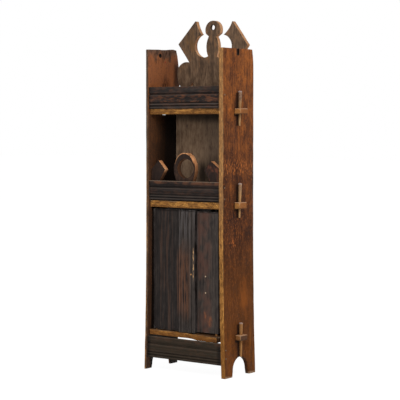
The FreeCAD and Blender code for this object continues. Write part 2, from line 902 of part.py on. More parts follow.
# Battens across the back of the left door
batten_left = left_door["hinge_edge"] + s.batten_side_margin
batten_right = left_door["free_edge"] - s.batten_side_margin
batten_y = door_y + (s.door_thickness + s.batten_thickness) * 0.5
batten_feet = {
    "lower": left_door["foot"] + s.batten_end_margin,
    "upper": left_door["head"] - s.batten_end_margin - s.batten_width,
}
for batten_name, batten_foot in batten_feet.items():
    make_plank("left_door_%s_batten" % batten_name, (batten_left, batten_foot),
               (batten_right, batten_foot + s.batten_width), s.batten_thickness, batten_y)

# Stop below the middle shelf that the closed doors lie against
stop_front = door_y + s.door_thickness * 0.5 + s.stop_gap
stop_left = s.stop_side_gap - inner_face("left", middle_shelf.base)
stop_right = inner_face("right", middle_shelf.base) - s.stop_side_gap
stop_foot = middle_shelf.base - s.stop_width
make_plank("door_stop", (stop_left, stop_foot), (stop_right, middle_shelf.base), s.stop_depth,
           stop_front + s.stop_depth * 0.5)

# Nails: which way each is driven, as the turn that takes an upright nail's point that way
NAIL_TURNS = {
    "right": (FreeCAD.Vector(0, 1, 0), 90),
    "left": (FreeCAD.Vector(0, 1, 0), -90),
    "front": (FreeCAD.Vector(1, 0, 0), 90),
    "up": (FreeCAD.Vector(1, 0, 0), 0),
}
SHANK_SIDES = 4
HEAD_SIDES = 8


def prism(name, sides, radius, height, x, y, z):
    item = doc.addObject("Part::Prism", name)
    item.Polygon = sides
    bind(item, "Circumradius", radius)
    bind(item, "Height", height)
    place(item, x, y, z)
    return item


def make_nail(name, x, y, z, way, length):
    """A square-shanked hand-cut nail whose hammered head lies on the wood at the point given."""
    axis, angle = NAIL_TURNS[way]
    shank = prism(name + "_shank", SHANK_SIDES, s.nail_shank_radius, length, x, y, z)
    head = prism(name + "_head", HEAD_SIDES, s.nail_head_radius, s.nail_head_thickness, x, y, z)
    shank.Placement.Rotation = FreeCAD.Rotation(axis, angle)
    head.Placement.Rotation = FreeCAD.Rotation(axis, angle + 180)
    nail = doc.addObject("Part::Fuse", name)
    nail.Base = shank
    nail.Tool = head
    return nail


for one_side, way in (("left", "right"), ("right", "left")):
    rail_nails = []
    for rail, nail_shares in rails:
        for count, share in enumerate(nail_shares, start=1):
            nail_z = rail["foot"] + rail["width"] * share
            rail_nails.append(make_nail(
                "%s_%s_rail_nail_%d" % (rail["name"], one_side, count),
                outer_face(one_side, nail_z) * outwards[one_side], rail["y"], nail_z, way, s.nail_length))
    gather(one_side + "_rail_nails", rail_nails)

back_nails = []
for one_shelf in shelves:
    nail_z = one_shelf.base + one_shelf.thickness * 0.5
    back_nail_places = {
        "left": s.back_nail_margin - inner_face("left", s.splay_start_height),
        "middle": s.crest_axis,
        "right": inner_face("right", s.splay_start_height) - s.back_nail_margin,
    }
    for where, nail_x in back_nail_places.items():
        back_nails.append(make_nail("%s_%s_back_nail" % (one_shelf.name, where), nail_x,
                                    back_y - s.back_inset, nail_z, "front", s.nail_length))
gather("back_nails", back_nails)

strip_nails = []
strip_nail_heights = (
    left_door["foot"] + s.batten_end_margin * 0.5,
    (left_door["foot"] + left_door["head"]) * 0.5,
    left_door["head"] - s.batten_end_margin * 0.5,
)
for count, nail_z in enumerate(strip_nail_heights, start=1):
    strip_nails.append(make_nail("strip_nail_%d" % count, strip_left + s.strip_width * 0.5,
                                 door_y + s.door_thickness * 0.5, nail_z, "front", s.short_nail_length))
gather("strip_nails", strip_nails)

batten_nails = []
for batten_name, batten_foot in batten_feet.items():
    for count, share in enumerate(BATTEN_NAIL_SHARES, start=1):
        batten_nails.append(make_nail(
            "%s_batten_nail_%d" % (batten_name, count),
            batten_left + (batten_right - batten_left) * share,
            batten_y + s.batten_thickness * 0.5, batten_foot + s.batten_width * 0.5, "front",
            s.short_nail_length))
gather("batten_nails", batten_nails)

stop_nails = []
for count, share in enumerate(STOP_NAIL_SHARES, start=1):
    stop_nails.append(make_nail(
        "stop_nail_%d" % count, stop_left + (stop_right - stop_left) * share,
        stop_front + s.stop_depth * 0.5, stop_foot, "up", s.nail_length))
gather("stop_nails", stop_nails)

# Checks and export
doc.recompute()
for item in doc.Objects:
    if "Invalid" in item.State or "Error" in item.State:
        raise RuntimeError("%s failed: %s" % (item.Label, item.State))
for node in nodes:
    if node.Shape.isNull() or not node.Shape.isValid():
        raise RuntimeError("%s has no valid shape" % node.Label)

os.makedirs("parts", exist_ok=True)
for node in nodes:
    node.Shape.exportStep("parts/%s.step" % node.Label)
    box = node.Shape.BoundBox
    print("%-24s solids %2d  volume %11.1f  x %8.1f %8.1f  y %8.1f %8.1f  z %8.1f %8.1f" % (
        node.Label, len(node.Shape.Solids), node.Shape.Volume, box.XMin, box.XMax, box.YMin, box.YMax,
        box.ZMin, box.ZMax))
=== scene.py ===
import json
import math

import bpy
from mathutils import Matrix, Vector, noise

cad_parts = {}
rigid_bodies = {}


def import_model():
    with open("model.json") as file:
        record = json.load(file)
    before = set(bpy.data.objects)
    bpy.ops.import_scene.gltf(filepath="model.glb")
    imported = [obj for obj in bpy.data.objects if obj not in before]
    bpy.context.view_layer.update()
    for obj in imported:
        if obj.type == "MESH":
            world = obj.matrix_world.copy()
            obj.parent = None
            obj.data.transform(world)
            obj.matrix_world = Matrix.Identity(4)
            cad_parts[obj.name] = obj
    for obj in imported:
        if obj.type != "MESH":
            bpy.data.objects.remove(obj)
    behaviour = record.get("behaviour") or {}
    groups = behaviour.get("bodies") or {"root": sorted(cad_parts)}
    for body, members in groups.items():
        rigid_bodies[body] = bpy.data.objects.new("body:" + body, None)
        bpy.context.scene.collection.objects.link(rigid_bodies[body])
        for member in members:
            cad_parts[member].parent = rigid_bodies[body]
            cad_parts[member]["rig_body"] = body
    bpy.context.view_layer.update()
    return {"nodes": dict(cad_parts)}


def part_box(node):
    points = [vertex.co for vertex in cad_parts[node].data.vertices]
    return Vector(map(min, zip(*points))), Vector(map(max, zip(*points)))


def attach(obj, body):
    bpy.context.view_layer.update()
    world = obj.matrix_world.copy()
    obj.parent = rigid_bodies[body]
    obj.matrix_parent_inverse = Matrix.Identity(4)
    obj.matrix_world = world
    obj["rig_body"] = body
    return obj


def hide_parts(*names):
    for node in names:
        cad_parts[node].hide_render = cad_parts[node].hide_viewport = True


# Looks of a tall knock-down cupboard of wide planks: worn arrises, hand-planed faces and old stain.
# Lengths are in metres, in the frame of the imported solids: X to the right, Y to the back, Z up.

bl_info = {
    "name": "Plank Cupboard",
    "version": (1, 0, 0),
    "blender": (4, 5, 0),
    "location": "3D View > Sidebar > Cupboard",
    "description": "Dresses the solids of a tall knock-down cupboard in worn, stained wood",
    "category": "Object",
}

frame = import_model()

MM = 0.001


def mm(*lengths):
    """Lengths given in millimetres, as metres."""
    return [value * MM for value in lengths]


def rgb(red, green, blue):
    """A colour given in display values, as the linear colour that shaders use."""
    shares = [value / 255 for value in (red, green, blue)]
    linear = [share / 12.92 if share <= 0.04045 else ((share + 0.055) / 1.055) ** 2.4 for share in shares]
    return (*linear, 1.0)


def length(text, millimetres):
    return bpy.props.FloatProperty(description=text, default=millimetres * MM, min=0.0, unit="LENGTH",
                                   precision=4)


def colour(text, default):
    return bpy.props.FloatVectorProperty(description=text, default=default, size=4, min=0.0, max=1.0,
                                         subtype="COLOR")


class CupboardShape(bpy.types.PropertyGroup):
    """Sizes of the wear that the years put on the wood."""

    plank_arris: length("Width of the rounding along planks and shelves", 3.2)
    rail_arris: length("Width of the rounding along rails and doors", 1.1)
    key_arris: length("Width of the rounding along the keys", 2.0)
    plank_cell: length("Size of the cells that let a plank be worn", 16)
    shelf_cell: length("Size of the cells through the thickness of a shelf", 9)
    reed_cell: length("Size of the cells across a reeded face", 4)
    key_cell: length("Size of the cells of a key", 6)
    plane_marks: length("Depth of the hollows left by a hand plane", 1.6)
    rail_marks: length("Depth of the dents in rails and doors", 0.8)
    sag: length("How far the bottom shelf's front edge hangs down at the right", 6.5)
    dip: length("Depth of the worn dips in top edges", 4.0)
    short: length("How far the bottom shelf stops short of the right plank", 17.0)
    lobe_drop: length("How far the crest's lobes hang down towards the top rail", 8.0)


class CupboardColours(bpy.types.PropertyGroup):
    """Colours of the stains and of the wood that shows where they have worn off."""

    side_dark: colour("Stain left in the grain of the side planks", rgb(46, 24, 14))
    side_mid: colour("Stain on the side planks", rgb(92, 52, 28))
    side_light: colour("Rubbed stain on the side planks", rgb(148, 86, 40))
    side_tick: colour("Orange ticks on the side planks", rgb(158, 86, 36))
    edge_dark: colour("Dirt in the bare edges", rgb(66, 42, 22))
    edge_mid: colour("Bare edges of planks and shelves", rgb(132, 89, 44))
    edge_light: colour("Clean streaks in the bare edges", rgb(190, 136, 68))
    back_dark: colour("Dark streaks of the back board", rgb(58, 46, 38))
    back_mid: colour("Dry grey-brown of the back board", rgb(93, 73, 57))
    back_light: colour("Pale streaks of the back board", rgb(126, 103, 82))
    sawn: colour("Sawn edges of the crest", rgb(176, 130, 92))
    sawn_light: colour("Rubbed places of the sawn edges", rgb(212, 168, 132))
    black: colour("Old black stain of rails and doors", rgb(42, 37, 35))
    # This black is painted shade as well as soot: it darkens grooves, gaps, holes and shaded places.
    soot_and_shade: colour("Black in grooves and shadows", rgb(16, 12, 10))
    # This grey is wear and painted highlight together, on the corners of rails and doors.
    grey_wear_and_highlight: colour("Bluish wear of the black stain", rgb(92, 86, 84))
    black_worn: colour("Red-brown that shows through the black stain", rgb(112, 68, 44))
    key: colour("Tan wood of the keys", rgb(150, 110, 71))
    key_grey: colour("Greyed heads of the keys", rgb(132, 112, 104))
    iron: colour("Nail heads", rgb(102, 88, 66))


# Surfaces

class Wire:
    """A shader socket. Python's operators on it add Math nodes, and its methods shape or coat it."""

    def __init__(self, nodes, socket):
        self.nodes = nodes
        self.socket = socket

    def __add__(self, other):
        return self.nodes.math("ADD", self, other)

    __radd__ = __add__

    def __sub__(self, other):
        return self.nodes.math("SUBTRACT", self, other)

    def __rsub__(self, other):
        return self.nodes.math("SUBTRACT", other, self)

    def __mul__(self, other):
        return self.nodes.math("MULTIPLY", self, other)

    __rmul__ = __mul__

    def step(self, low, high):
        """0 at low, 1 at high and a smooth step between, either way round."""
        return self.nodes.node("ShaderNodeMapRange", {0: self, 1: low, 2: high, 3: 0.0, 4: 1.0},
                               interpolation_type="SMOOTHSTEP")

    def near(self, place, first, second):
        """A step between two distances from a place, in millimetres."""
        return self.step(place + first * MM, place + second * MM)

    def band(self, low, high, soft):
        """1 between two values, with soft ends."""
        return self.step(low - soft, low) * self.step(high + soft, high)

    def coat(self, share, colour):
        """This colour, with a share of another laid over it."""
        return self.nodes.mix(share, self, colour)


class Nodes:
    """The node tree of a material or of the world, empty at first."""

    def __init__(self, owner):
        self.owner = owner
        owner.use_nodes = True
        self.tree = owner.node_tree
        self.tree.nodes.clear()

    def node(self, kind, inputs=None, output=0, **settings):
        """Add a node, set it up, then give its sockets their values or links."""
        node = self.tree.nodes.new(kind)
        for key, value in settings.items():
            setattr(node, key, value)
        for key, value in (inputs or {}).items():
            if isinstance(value, Wire):
                self.tree.links.new(value.socket, node.inputs[key])
            else:
                node.inputs[key].default_value = value
        return Wire(self, node.outputs[output]) if node.outputs else node

    def outputs(self, wire, names):
        """Further outputs of the node that a wire comes from."""
        return [Wire(self, wire.socket.node.outputs[name]) for name in names]

    def math(self, operation, first, second=0.0):
        return self.node("ShaderNodeMath", {0: first, 1: second}, operation=operation)

    def mix(self, share, first, second):
        return self.node("ShaderNodeMix", {0: share, 6: first, 7: second}, output=2, data_type="RGBA")

    def seen_rays(self):
        """1 for rays from the camera, or by way of a mirror or glass."""
        camera, glossy, through = self.outputs(self.node("ShaderNodeLightPath"),
                                               ("Is Camera Ray", "Is Glossy Ray", "Is Transmission Ray"))
        return self.math("MAXIMUM", self.math("MAXIMUM", camera, glossy), through)


class Finish(Nodes):
    """One material, built from nodes that read the piece's own coordinates."""

    # The share of a spot's reach within which it has its full strength.
    SPOT_CORE = 0.2

    def __init__(self, name):
        super().__init__(bpy.data.materials.new(name))
        self.place = self.node("ShaderNodeTexCoord", output="Object")
        split = self.node("ShaderNodeSeparateXYZ", {0: self.place})
        self.x, self.y, self.z = self.outputs(split, "XYZ")

    def mapped(self, scale, shift):
        return self.node("ShaderNodeMapping", {"Vector": self.place, "Location": shift, "Scale": scale})

    def noise(self, size, shift=(0, 0, 0)):
        """Noise from 0 to 1 whose grains have about the size given along each axis."""
        scale = [1 / along for along in size]
        return self.node("ShaderNodeTexNoise", {"Vector": self.mapped(scale, shift), "Scale": 1.0,
                                                "Detail": 2.0, "Roughness": 0.55})

    def ramp(self, value, colours):
        """Colours spread evenly over the values from 0 to 1."""
        wire = self.node("ShaderNodeValToRGB", {0: value})
        ramp = wire.socket.node.color_ramp
        while len(ramp.elements) < len(colours):
            ramp.elements.new(1.0)
        for number, shade in enumerate(colours):
            ramp.elements[number].position = number / (len(colours) - 1)
            ramp.elements[number].color = shade
        return wire

    def far(self, centre, reach):
        """How far from a place on the wood, where 1 is the reach given along each axis."""
        scale = [1 / size for size in reach]
        shift = [-where / size for where, size in zip(centre, reach)]
        return self.node("ShaderNodeVectorMath", {0: self.mapped(scale, shift)}, output="Value",
                         operation="LENGTH")

    def spot(self, centre, reach):
        """1 at a place on the wood, fading to 0 at the reach given along each axis."""
        return self.far(centre, reach).step(1.0, self.SPOT_CORE)

    def surface(self, base, rough, height, depth, shine):
        """Join colour, roughness and relief into the surface."""
        relief = self.node("ShaderNodeBump", {"Strength": 1.0, "Distance": depth, "Height": height})
        surface = self.node("ShaderNodeBsdfPrincipled", {"Base Color": base, "Roughness": rough,
                                                         "Normal": relief, "Specular IOR Level": shine})
        self.node("ShaderNodeOutputMaterial", {"Surface": surface})
        return self.owner


class Board(Finish):
    """The finish of a board: streaks, pores, mottling and flecks that follow its grain."""

    # Size of each figure across and along the grain, in millimetres.
    FIGURES = {"streak": (11, 230), "dash": (8, 30), "tick": (5, 17), "pore": (1.8, 60),
               "mottle": (34, 62), "fleck": (5.5, 9), "cloud": (75, 150)}
    SHINE = 0.06

    def __init__(self, name, grain, shift):
        super().__init__(name)
        for figure, (across, along) in self.FIGURES.items():
            size = [along if axis == grain else across for axis in "XYZ"]
            setattr(self, figure, self.noise(mm(*size), shift))
        for mark in ("arris", "crease"):
            setattr(self, mark, self.node("ShaderNodeAttribute", output="Fac", attribute_name=mark))

    def figured(self, gain, streak, dash, mottle, pore=0.0):
        """Shares of the figures summed, with the contrast raised about the middle."""
        middle = 0.5 * (streak + dash + mottle + pore)
        total = self.streak * streak + self.dash * dash + self.mottle * mottle + self.pore * pore
        return (total - middle) * gain + 0.5

    def worn_arris(self, low, high):
        """Where hands have rubbed the corners, in broken lengths."""
        return (self.arris + (self.mottle - 0.5) * 1.6).step(low, high)

    def coat(self, share, colour):
        """Lay a share of another colour over the wood."""
        self.wood = self.wood.coat(share, colour)

    def close(self, rough, depth):
        """Join the wood's colour with a roughness and a relief that follow the figure."""
        relief = self.pore * 0.45 + self.dash * 0.3 + self.streak * 0.25
        return self.surface(self.wood, self.mottle * 0.3 + (rough - 0.15), relief, depth, self.SHINE)


def bare_edge(board, colours, bias=0.0):
    """Bare edge wood: ochre with clean streaks and dark ticks."""
    figure = board.figured(gain=3.8, streak=0.25, dash=0.45, mottle=0.3)
    body = board.ramp(figure + bias, [colours.edge_dark, colours.edge_mid, colours.edge_light])
    body = body.coat(board.mottle.step(0.58, 0.68) * 0.5, colours.edge_dark)
    body = body.coat(board.mottle.step(0.42, 0.34) * 0.2, colours.edge_light)
    body = body.coat(board.tick.step(0.58, 0.68) * 0.6, colours.edge_dark)
    return body.coat(board.fleck.step(0.55, 0.63) * 0.5, colours.edge_dark)


def side_wood(board, colours, bias):
    """Red-brown stain, clouded, with rubbed orange ticks and dark flecks."""
    figure = board.figured(gain=3.4, streak=0.25, dash=0.25, mottle=0.3, pore=0.2)
    figure = figure + (board.cloud - 0.5) * 0.9 + bias
    board.wood = board.ramp(figure, [colours.side_dark, colours.side_mid, colours.side_light])
    board.coat(board.tick.step(0.58, 0.7) * 0.65, colours.side_tick)
    board.coat(board.fleck.step(0.38, 0.28) * 0.4, colours.side_tick)
    board.coat(board.fleck.step(0.56, 0.68) * 0.7, colours.side_dark)


# Places rubbed bright on the right plank, each with its reach.
RIGHT_RUBBED = (((0.248, -0.071, 1.342), mm(30, 22, 10)),
                ((0.248, 0.066, 1.310), mm(30, 12, 26)),
                ((0.250, -0.045, 0.676), mm(30, 34, 36)))


def right_plank_finish(shift, colours):
    """The right plank: brightest at its top, darkest in the middle, rubbed by the keys, with painted shadow
    beside and under them.
    """
    board = Board("right_plank_stain", "Z", shift)
    x, y, z = board.x, board.y, board.z
    low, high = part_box("right_side")
    bias = z.step(1.0, 1.6) * 0.22 - z.band(0.55, 0.95, 0.25) * 0.29
    bias = bias - z.step(0.6, 0.2) * y.step(-0.06, 0.06) * 0.2
    side_wood(board, colours, bias)
    board.coat(z.step(0.8, 0.4) * 0.5, rgb(94, 52, 12))
    glow = board.spot((0.253, 0.05, 0.38), mm(60, 65, 150)) * board.cloud.step(0.4, 0.6)
    board.coat(glow * 0.4, rgb(146, 80, 28))
    rear = board.spot((0.26, 0.115, 0.14), mm(60, 48, 190)) * board.streak.step(0.38, 0.56)
    board.coat(rear * 0.5, rgb(140, 82, 28))
    for centre, reach in RIGHT_RUBBED:
        rubbed = board.spot(centre, reach) * board.tick.step(0.48, 0.62)
        board.coat(rubbed * 0.8, rgb(178, 98, 46))
    row = z.band(1.03, 1.07, 0.03) * board.tick.step(0.52, 0.64)
    board.coat(row * 0.7, rgb(176, 102, 50))
    for shelf in ("top", "middle", "bottom"):
        key_shadows(board, shelf)
    # The notch in the plank's top is painted black, as painted shade.
    notch_shade = y.band(-11 * MM, 7 * MM, 2 * MM) * z.step(1.607, 1.613)
    board.coat(notch_shade, colours.soot_and_shade)
    foot = (z + (board.mottle - 0.5) * 0.03).step(16 * MM, 3 * MM)
    board.coat(foot * 0.6, rgb(168, 140, 112))
    # The inner wall of the arch at the foot is painted dark, as painted shade.
    arch_wall_shade = y.band(-69 * MM, 77 * MM, 2 * MM) * z.step(102 * MM, 97 * MM) * x.near(high.x, -5, -9)
    board.coat(arch_wall_shade * 0.75, rgb(46, 27, 16))
    rim = board.worn_arris(0.65, 1.1) * y.near(low.y, 12, 2)
    board.coat(rim * (z.step(0.7, 1.2) * 0.5 + 0.3), rgb(176, 146, 106))
    edge = y.near(low.y, 4.0, 1.5)
    bare = bare_edge(board, colours, 0.08)
    bare = bare.coat(z.step(0.5, 1.0) * 0.3, rgb(150, 116, 86))
    bare = bare.coat(z.step(0.4, 0.08) * 0.6, rgb(116, 72, 28))
    board.coat(edge, bare)
    dent = board.spot((0.2375, low.y, 0.5096), mm(5, 5, 9))
    board.coat(dent, colours.soot_and_shade)
    return board.close(0.6, 1.6 * MM)


def key_shadows(board, shelf):
    """Painted shadow along the front side of a key, around it and under its tenon."""
    low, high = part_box(shelf + "_right_key")
    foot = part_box(shelf + "_shelf")[0].z
    around = board.spot((low.x, low.y - 12 * MM, (low.z + high.z) / 2), mm(80, 48, 120))
    board.coat(around * 0.35, rgb(40, 25, 17))
    beside = board.y.band(low.y - 13 * MM, low.y, 7 * MM)
    beside = beside * board.z.band(low.z + 4 * MM, high.z - 14 * MM, 9 * MM)
    board.coat(beside * 0.85, rgb(26, 15, 10))
    under = board.y.band(-33 * MM, 16 * MM, 8 * MM) * board.z.band(foot - 9 * MM, foot, 5 * MM)
    board.coat(under * 0.8, rgb(22, 13, 9))


# Where the left plank's outer face lies, and how the stripes of its front edge lean in towards the foot.
LEFT_OUTSIDE = 0.244
LEAN_FROM = 0.85
LEAN_REACH = 15 * MM
# Places soaked dark on the left plank's inner face.
LEFT_SOAKED = (((-0.230, -0.065, 1.629), mm(30, 24, 12)),
               ((-0.230, 0.040, 1.640), mm(30, 45, 26)),
               ((-0.230, 0.012, 1.480), mm(30, 50, 44)))


def left_plank_finish(shift, colours):
    """The left plank: grimed at its top and painted black with shade inside the niche, its front edge grey
    over amber.
    """
    board = Board("left_plank_stain", "Z", shift)
    x, y, z = board.x, board.y, board.z
    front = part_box("left_side")[0].y
    side_wood(board, colours, z.step(1.3, 1.5) * 0.5)
    board.coat(z.step(1.4, 1.5) * 0.35, rgb(144, 97, 76))
    grime = (z + (board.mottle - 0.5) * 0.16).step(1.595, 1.64)
    board.coat(grime * 0.8, rgb(92, 75, 64))
    spots = z.step(1.54, 1.63) * (board.dash * 0.5 + board.mottle * 0.5).step(0.48, 0.58)
    board.coat(spots * 0.6, colours.side_dark)
    for centre, reach in LEFT_SOAKED:
        soaked = board.spot(centre, reach) * (board.dash * 0.5 + board.tick * 0.5).step(0.42, 0.56)
        board.coat(soaked * 0.85, colours.side_dark)
    # Painted shade darkens the back of the inner face, in the gap behind the crest's lobe.
    behind = y.step(0.07, 0.1) * z.step(1.63, 1.56)
    board.coat(behind * 0.85, rgb(44, 28, 20))
    speck = board.spot((-0.230, 0.0124, 1.589), mm(8, 7, 6))
    board.coat(speck * 0.8, rgb(150, 52, 34))
    # The peg hole is painted black, as painted shade.
    hole_shade = board.spot((-0.237, -30 * MM, 1.622), mm(60, 17, 16))
    board.coat(hole_shade.step(0.1, 0.5), colours.soot_and_shade)
    lean = board.math("MAXIMUM", LEAN_FROM - z)
    outer = x + LEFT_OUTSIDE + lean * lean * (LEAN_REACH / LEAN_FROM ** 2)
    inside = outer.step(6 * MM, 9 * MM)
    # Inside the niche the inner face is painted dark, deepening towards the back, as painted shade.
    niche = z.step(1.36, 1.30) * inside
    board.coat(niche * 0.6, rgb(76, 56, 42))
    board.coat(niche * y.step(-0.13, 0.03) * 0.97, colours.soot_and_shade)
    # Beside the door's left edge the inner face is painted black, as painted shade in the gap.
    door_gap_shade = y.step(-0.102, -0.095) * z.step(0.86, 0.84) * inside
    board.coat(door_gap_shade, colours.soot_and_shade)
    board.coat(z.step(0.86, 0.8) * inside * 0.35, rgb(40, 29, 22))
    edge = y.near(front, 5.0, 2.0)
    figure = board.figured(gain=2.6, streak=0.3, dash=0.4, mottle=0.3)
    grey = board.ramp(figure, [rgb(46, 34, 26), rgb(86, 65, 49), rgb(128, 100, 76)])
    amber = grey.coat(outer.step(9 * MM, 4 * MM), bare_edge(board, colours))
    rim = grey.coat(outer.step(5 * MM, 2 * MM) * 0.7, rgb(36, 27, 21))
    low_down = (z + (board.mottle - 0.5) * 0.3).step(1.2, 0.95)
    board.coat(edge, rim.coat(low_down, amber))
    return board.close(0.6, 1.6 * MM)


# Distance between the growth rings that show at the right end of a shelf's edge.
RING_PITCH = 12 * MM


def shelf_finish(name, shift, colours, bias, soiled, browned):
    """A shelf: dull brown on top, with a bare ochre front edge and bare tenons."""
    board = Board(name + "_wood", "X", shift)
    x, y, z = board.x, board.y, board.z
    low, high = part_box(name)
    figure = board.figured(gain=2.4, streak=0.4, dash=0.3, mottle=0.3)
    dull = board.ramp(figure, [rgb(40, 28, 20), rgb(84, 58, 38), rgb(122, 86, 54)])
    edge = y.near(low.y, 9, 4)
    tenon = x.step(0.247, 0.25) + x.step(-0.243, -0.246)
    bare = bare_edge(board, colours, bias)
    foot = z.step(high.z - 8 * MM, low.z - 4 * MM) * edge
    bare = bare.coat(foot * soiled, rgb(72, 42, 20))
    bare = bare.coat(browned * 0.6, rgb(116, 69, 24))
    bare = bare.coat(tenon * 0.5, rgb(146, 98, 56))
    bare = bare.coat(tenon * browned * 0.6, rgb(82, 53, 34))
    end_grain = x.near(high.x, -4, -1.5) + x.near(low.x, 4, 1.5)
    end_colour = rgb(62, 42, 36) if browned else rgb(128, 72, 40)
    bare = bare.coat(end_grain * (0.5 + 0.5 * browned), end_colour)
    bare = bare.coat(tenon * board.worn_arris(0.6, 1.1) * 0.4, rgb(198, 162, 122))
    shaded = z.near(low.z, 9, 1)
    bare = bare.coat(tenon * shaded * 0.7, rgb(46, 26, 16))
    board.wood = dull.coat(board.math("MINIMUM", edge + tenon, 1.0), bare)
    # The shelf's ends, in the gaps beside the planks, are painted black as painted shade.
    reach = 0.204 if name == "bottom_shelf" else 0.219
    ends = x.band(reach, 0.222, 4 * MM) + x.band(-0.233, -0.231, 3 * MM)
    board.coat(ends * y.step(-0.06, -0.09) * 0.9, colours.soot_and_shade)
    figured_end = board.spot((0.19, low.y, (low.z + high.z) / 2), mm(45, 30, 60))
    rings = board.math("SINE", (x + z * 0.8) * (math.tau / RING_PITCH) + board.mottle * 5)
    board.coat(figured_end * rings.step(0.0, 0.8) * 0.7, colours.edge_dark)
    sunk = 4 * MM if name == "bottom_shelf" else 0.0
    level = z + x.step(0.06, 0.14) * sunk
    upper = level.near(high.z, -7, -3) * board.worn_arris(0.6, 1.1)
    board.coat(upper * 0.7, rgb(112, 96, 78))
    # A painted highlight along the top of each tenon.
    board.coat(z.near(high.z, -5, -1) * tenon * 0.6, rgb(196, 152, 118))
    return board.close(0.62, 1.4 * MM)


def black_finish(name, along, shift, colours, worn, bias, extra=None):
    """Near-black stain, greyed on its corners by wear and painted highlight, painted black with shade in its
    inner corners, and rubbed through to red-brown along the grain.
    """
    board = Board(name, along, shift)
    figure = board.figured(gain=2.6, streak=0.35, dash=0.2, mottle=0.2, pore=0.25) + bias
    board.wood = board.ramp(figure, [rgb(17, 15, 15), colours.black, rgb(70, 63, 58)])
    rubbed = (board.pore * 0.4 + board.dash * 0.2 + board.mottle * 0.4).step(0.62 - worn, 0.74 - worn)
    board.coat(rubbed * 0.7, colours.black_worn)
    if extra:
        extra(board, colours)
    # Worn corners are greyed, partly as wear and partly as painted highlight.
    board.coat(board.worn_arris(0.7, 1.3) * 0.4, colours.grey_wear_and_highlight)
    # Inner corners and grooves are painted black, as painted shade.
    board.coat(board.crease.step(0.4, 1.0) * 0.9, colours.soot_and_shade)
    return board.close(0.52, 1.2 * MM)


# Where the grooves of a rail lie, as shares of its height from the top.
RAIL_GROOVES = ((0.27, 0.36), (0.71, 0.76), (0.84, 0.90))


def rail_wear_and_shade(node, redness, paleness, dullness):
    """The rail's broad flat is rubbed to red-brown in thin streaks and its top is pale; painted shade
    darkens its grooves and ends, and painted highlights light its beads.
    """
    low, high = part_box(node)
    tall = high.z - low.z
    greyed = rgb(84, 75, 68)

    def wear(board, colours):
        x, z = board.x, board.z
        ruled = board.noise(mm(1600, 40, 4.5), (0.4, tall, low.z))
        board.coat(ruled.step(0.5, 0.36) * 0.7, colours.soot_and_shade)
        board.coat(ruled.step(0.54, 0.7) * 0.4, greyed)
        # Each groove is painted dark as painted shade, and the bead just below it carries a painted
        # highlight.
        for upper, lower in RAIL_GROOVES:
            foot = high.z - tall * lower
            groove = z.band(foot, high.z - tall * upper, 1 * MM)
            board.coat(groove * 0.5, colours.soot_and_shade)
            below = z.band(foot - 5 * MM, foot - 2 * MM, 1.5 * MM)
            board.coat(below * 0.35, greyed)
        flat = z.band(low.z + tall * 0.32, low.z + tall * 0.62, 6 * MM)
        thin = board.noise(mm(34, 40, 3), (tall, 0.9, low.z))
        rubbed = (thin * 0.6 + board.mottle * 0.4).step(0.47, 0.6)
        board.coat((flat * 0.6 + 0.4) * rubbed * redness, colours.black_worn)
        ticks = flat * board.tick.step(0.6, 0.72)
        board.coat(ticks * redness * 0.6, rgb(136, 78, 42))
        board.coat(dullness, rgb(50, 41, 27))
        # The rail's ends, in the gaps beside the planks, are painted black as painted shade.
        ends = x.step(0.2, 0.224) + x.step(-0.212, -0.232)
        board.coat(ends * 0.75, colours.soot_and_shade)
        top = z.near(high.z, -22, -9)
        board.coat(top * board.mottle.step(0.4, 0.6) * paleness, rgb(96, 62, 44))
        board.coat(z.near(high.z, -4, -1) * paleness, rgb(124, 106, 90))

    return wear


def shaded_head(board, colours, top, reach):
    """Painted shadow of the shelf darkens the upper end of a door board, over a reach given in millimetres.
    """
    board.coat(board.z.near(top, -reach, -3) * 0.8, colours.soot_and_shade)


def strip_wear_and_shade(board, colours):
    """The strip has painted grey highlights at its top, is red-brown below, is rubbed bare along its right
    corner, and is painted black with shade on its right side and head.
    """
    x, y, z = board.x, board.y, board.z
    low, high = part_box("left_door_strip")
    # Painted highlight: grey streaks at the top of the strip.
    upper = z.step(0.62, 0.76) * board.streak.step(0.44, 0.6)
    board.coat(upper * 0.5, rgb(92, 88, 88))
    lower = (z + (board.cloud - 0.5) * 0.3).band(0.38, 0.52, 0.15) * x.step(0.045, 0.01)
    lower = lower * (board.streak * 0.5 + board.pore * 0.3 + board.mottle * 0.2).step(0.38, 0.56)
    board.coat(lower * 0.75, rgb(102, 66, 46))
    corner = x.near(high.x, -11, -9) * x.near(high.x, -4, -6)
    bare = corner * z.band(0.50, 0.62, 0.03) * board.tick.step(0.44, 0.56)
    board.coat(bare, rgb(200, 156, 110))
    speck = board.spot((0.042, low.y, 0.509), mm(7, 12, 6))
    board.coat(speck, rgb(186, 138, 84))
    # The strip's right side is painted black, as painted shade.
    shaded_wall = x.near(high.x, -3, -1) * y.near(low.y, 3, 7)
    board.coat(shaded_wall * 0.95, colours.soot_and_shade)
    shaded_head(board, colours, high.z, 14)


def wide_door_wear_and_shade(board, colours):
    """Brown shows faintly in upright streaks along the left of the wide door, and painted shadow darkens its
    head.
    """
    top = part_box("left_door_board")[1].z
    left = board.x.band(-0.165, -0.11, 0.03) * board.streak.step(0.46, 0.62)
    board.coat(left * 0.4, rgb(76, 53, 41))
    beside = board.x.band(-0.055, -0.03, 0.02) * board.z.band(0.36, 0.56, 0.1)
    board.coat(beside * board.streak.step(0.42, 0.58) * 0.55, rgb(90, 60, 45))
    shaded_head(board, colours, top, 16)


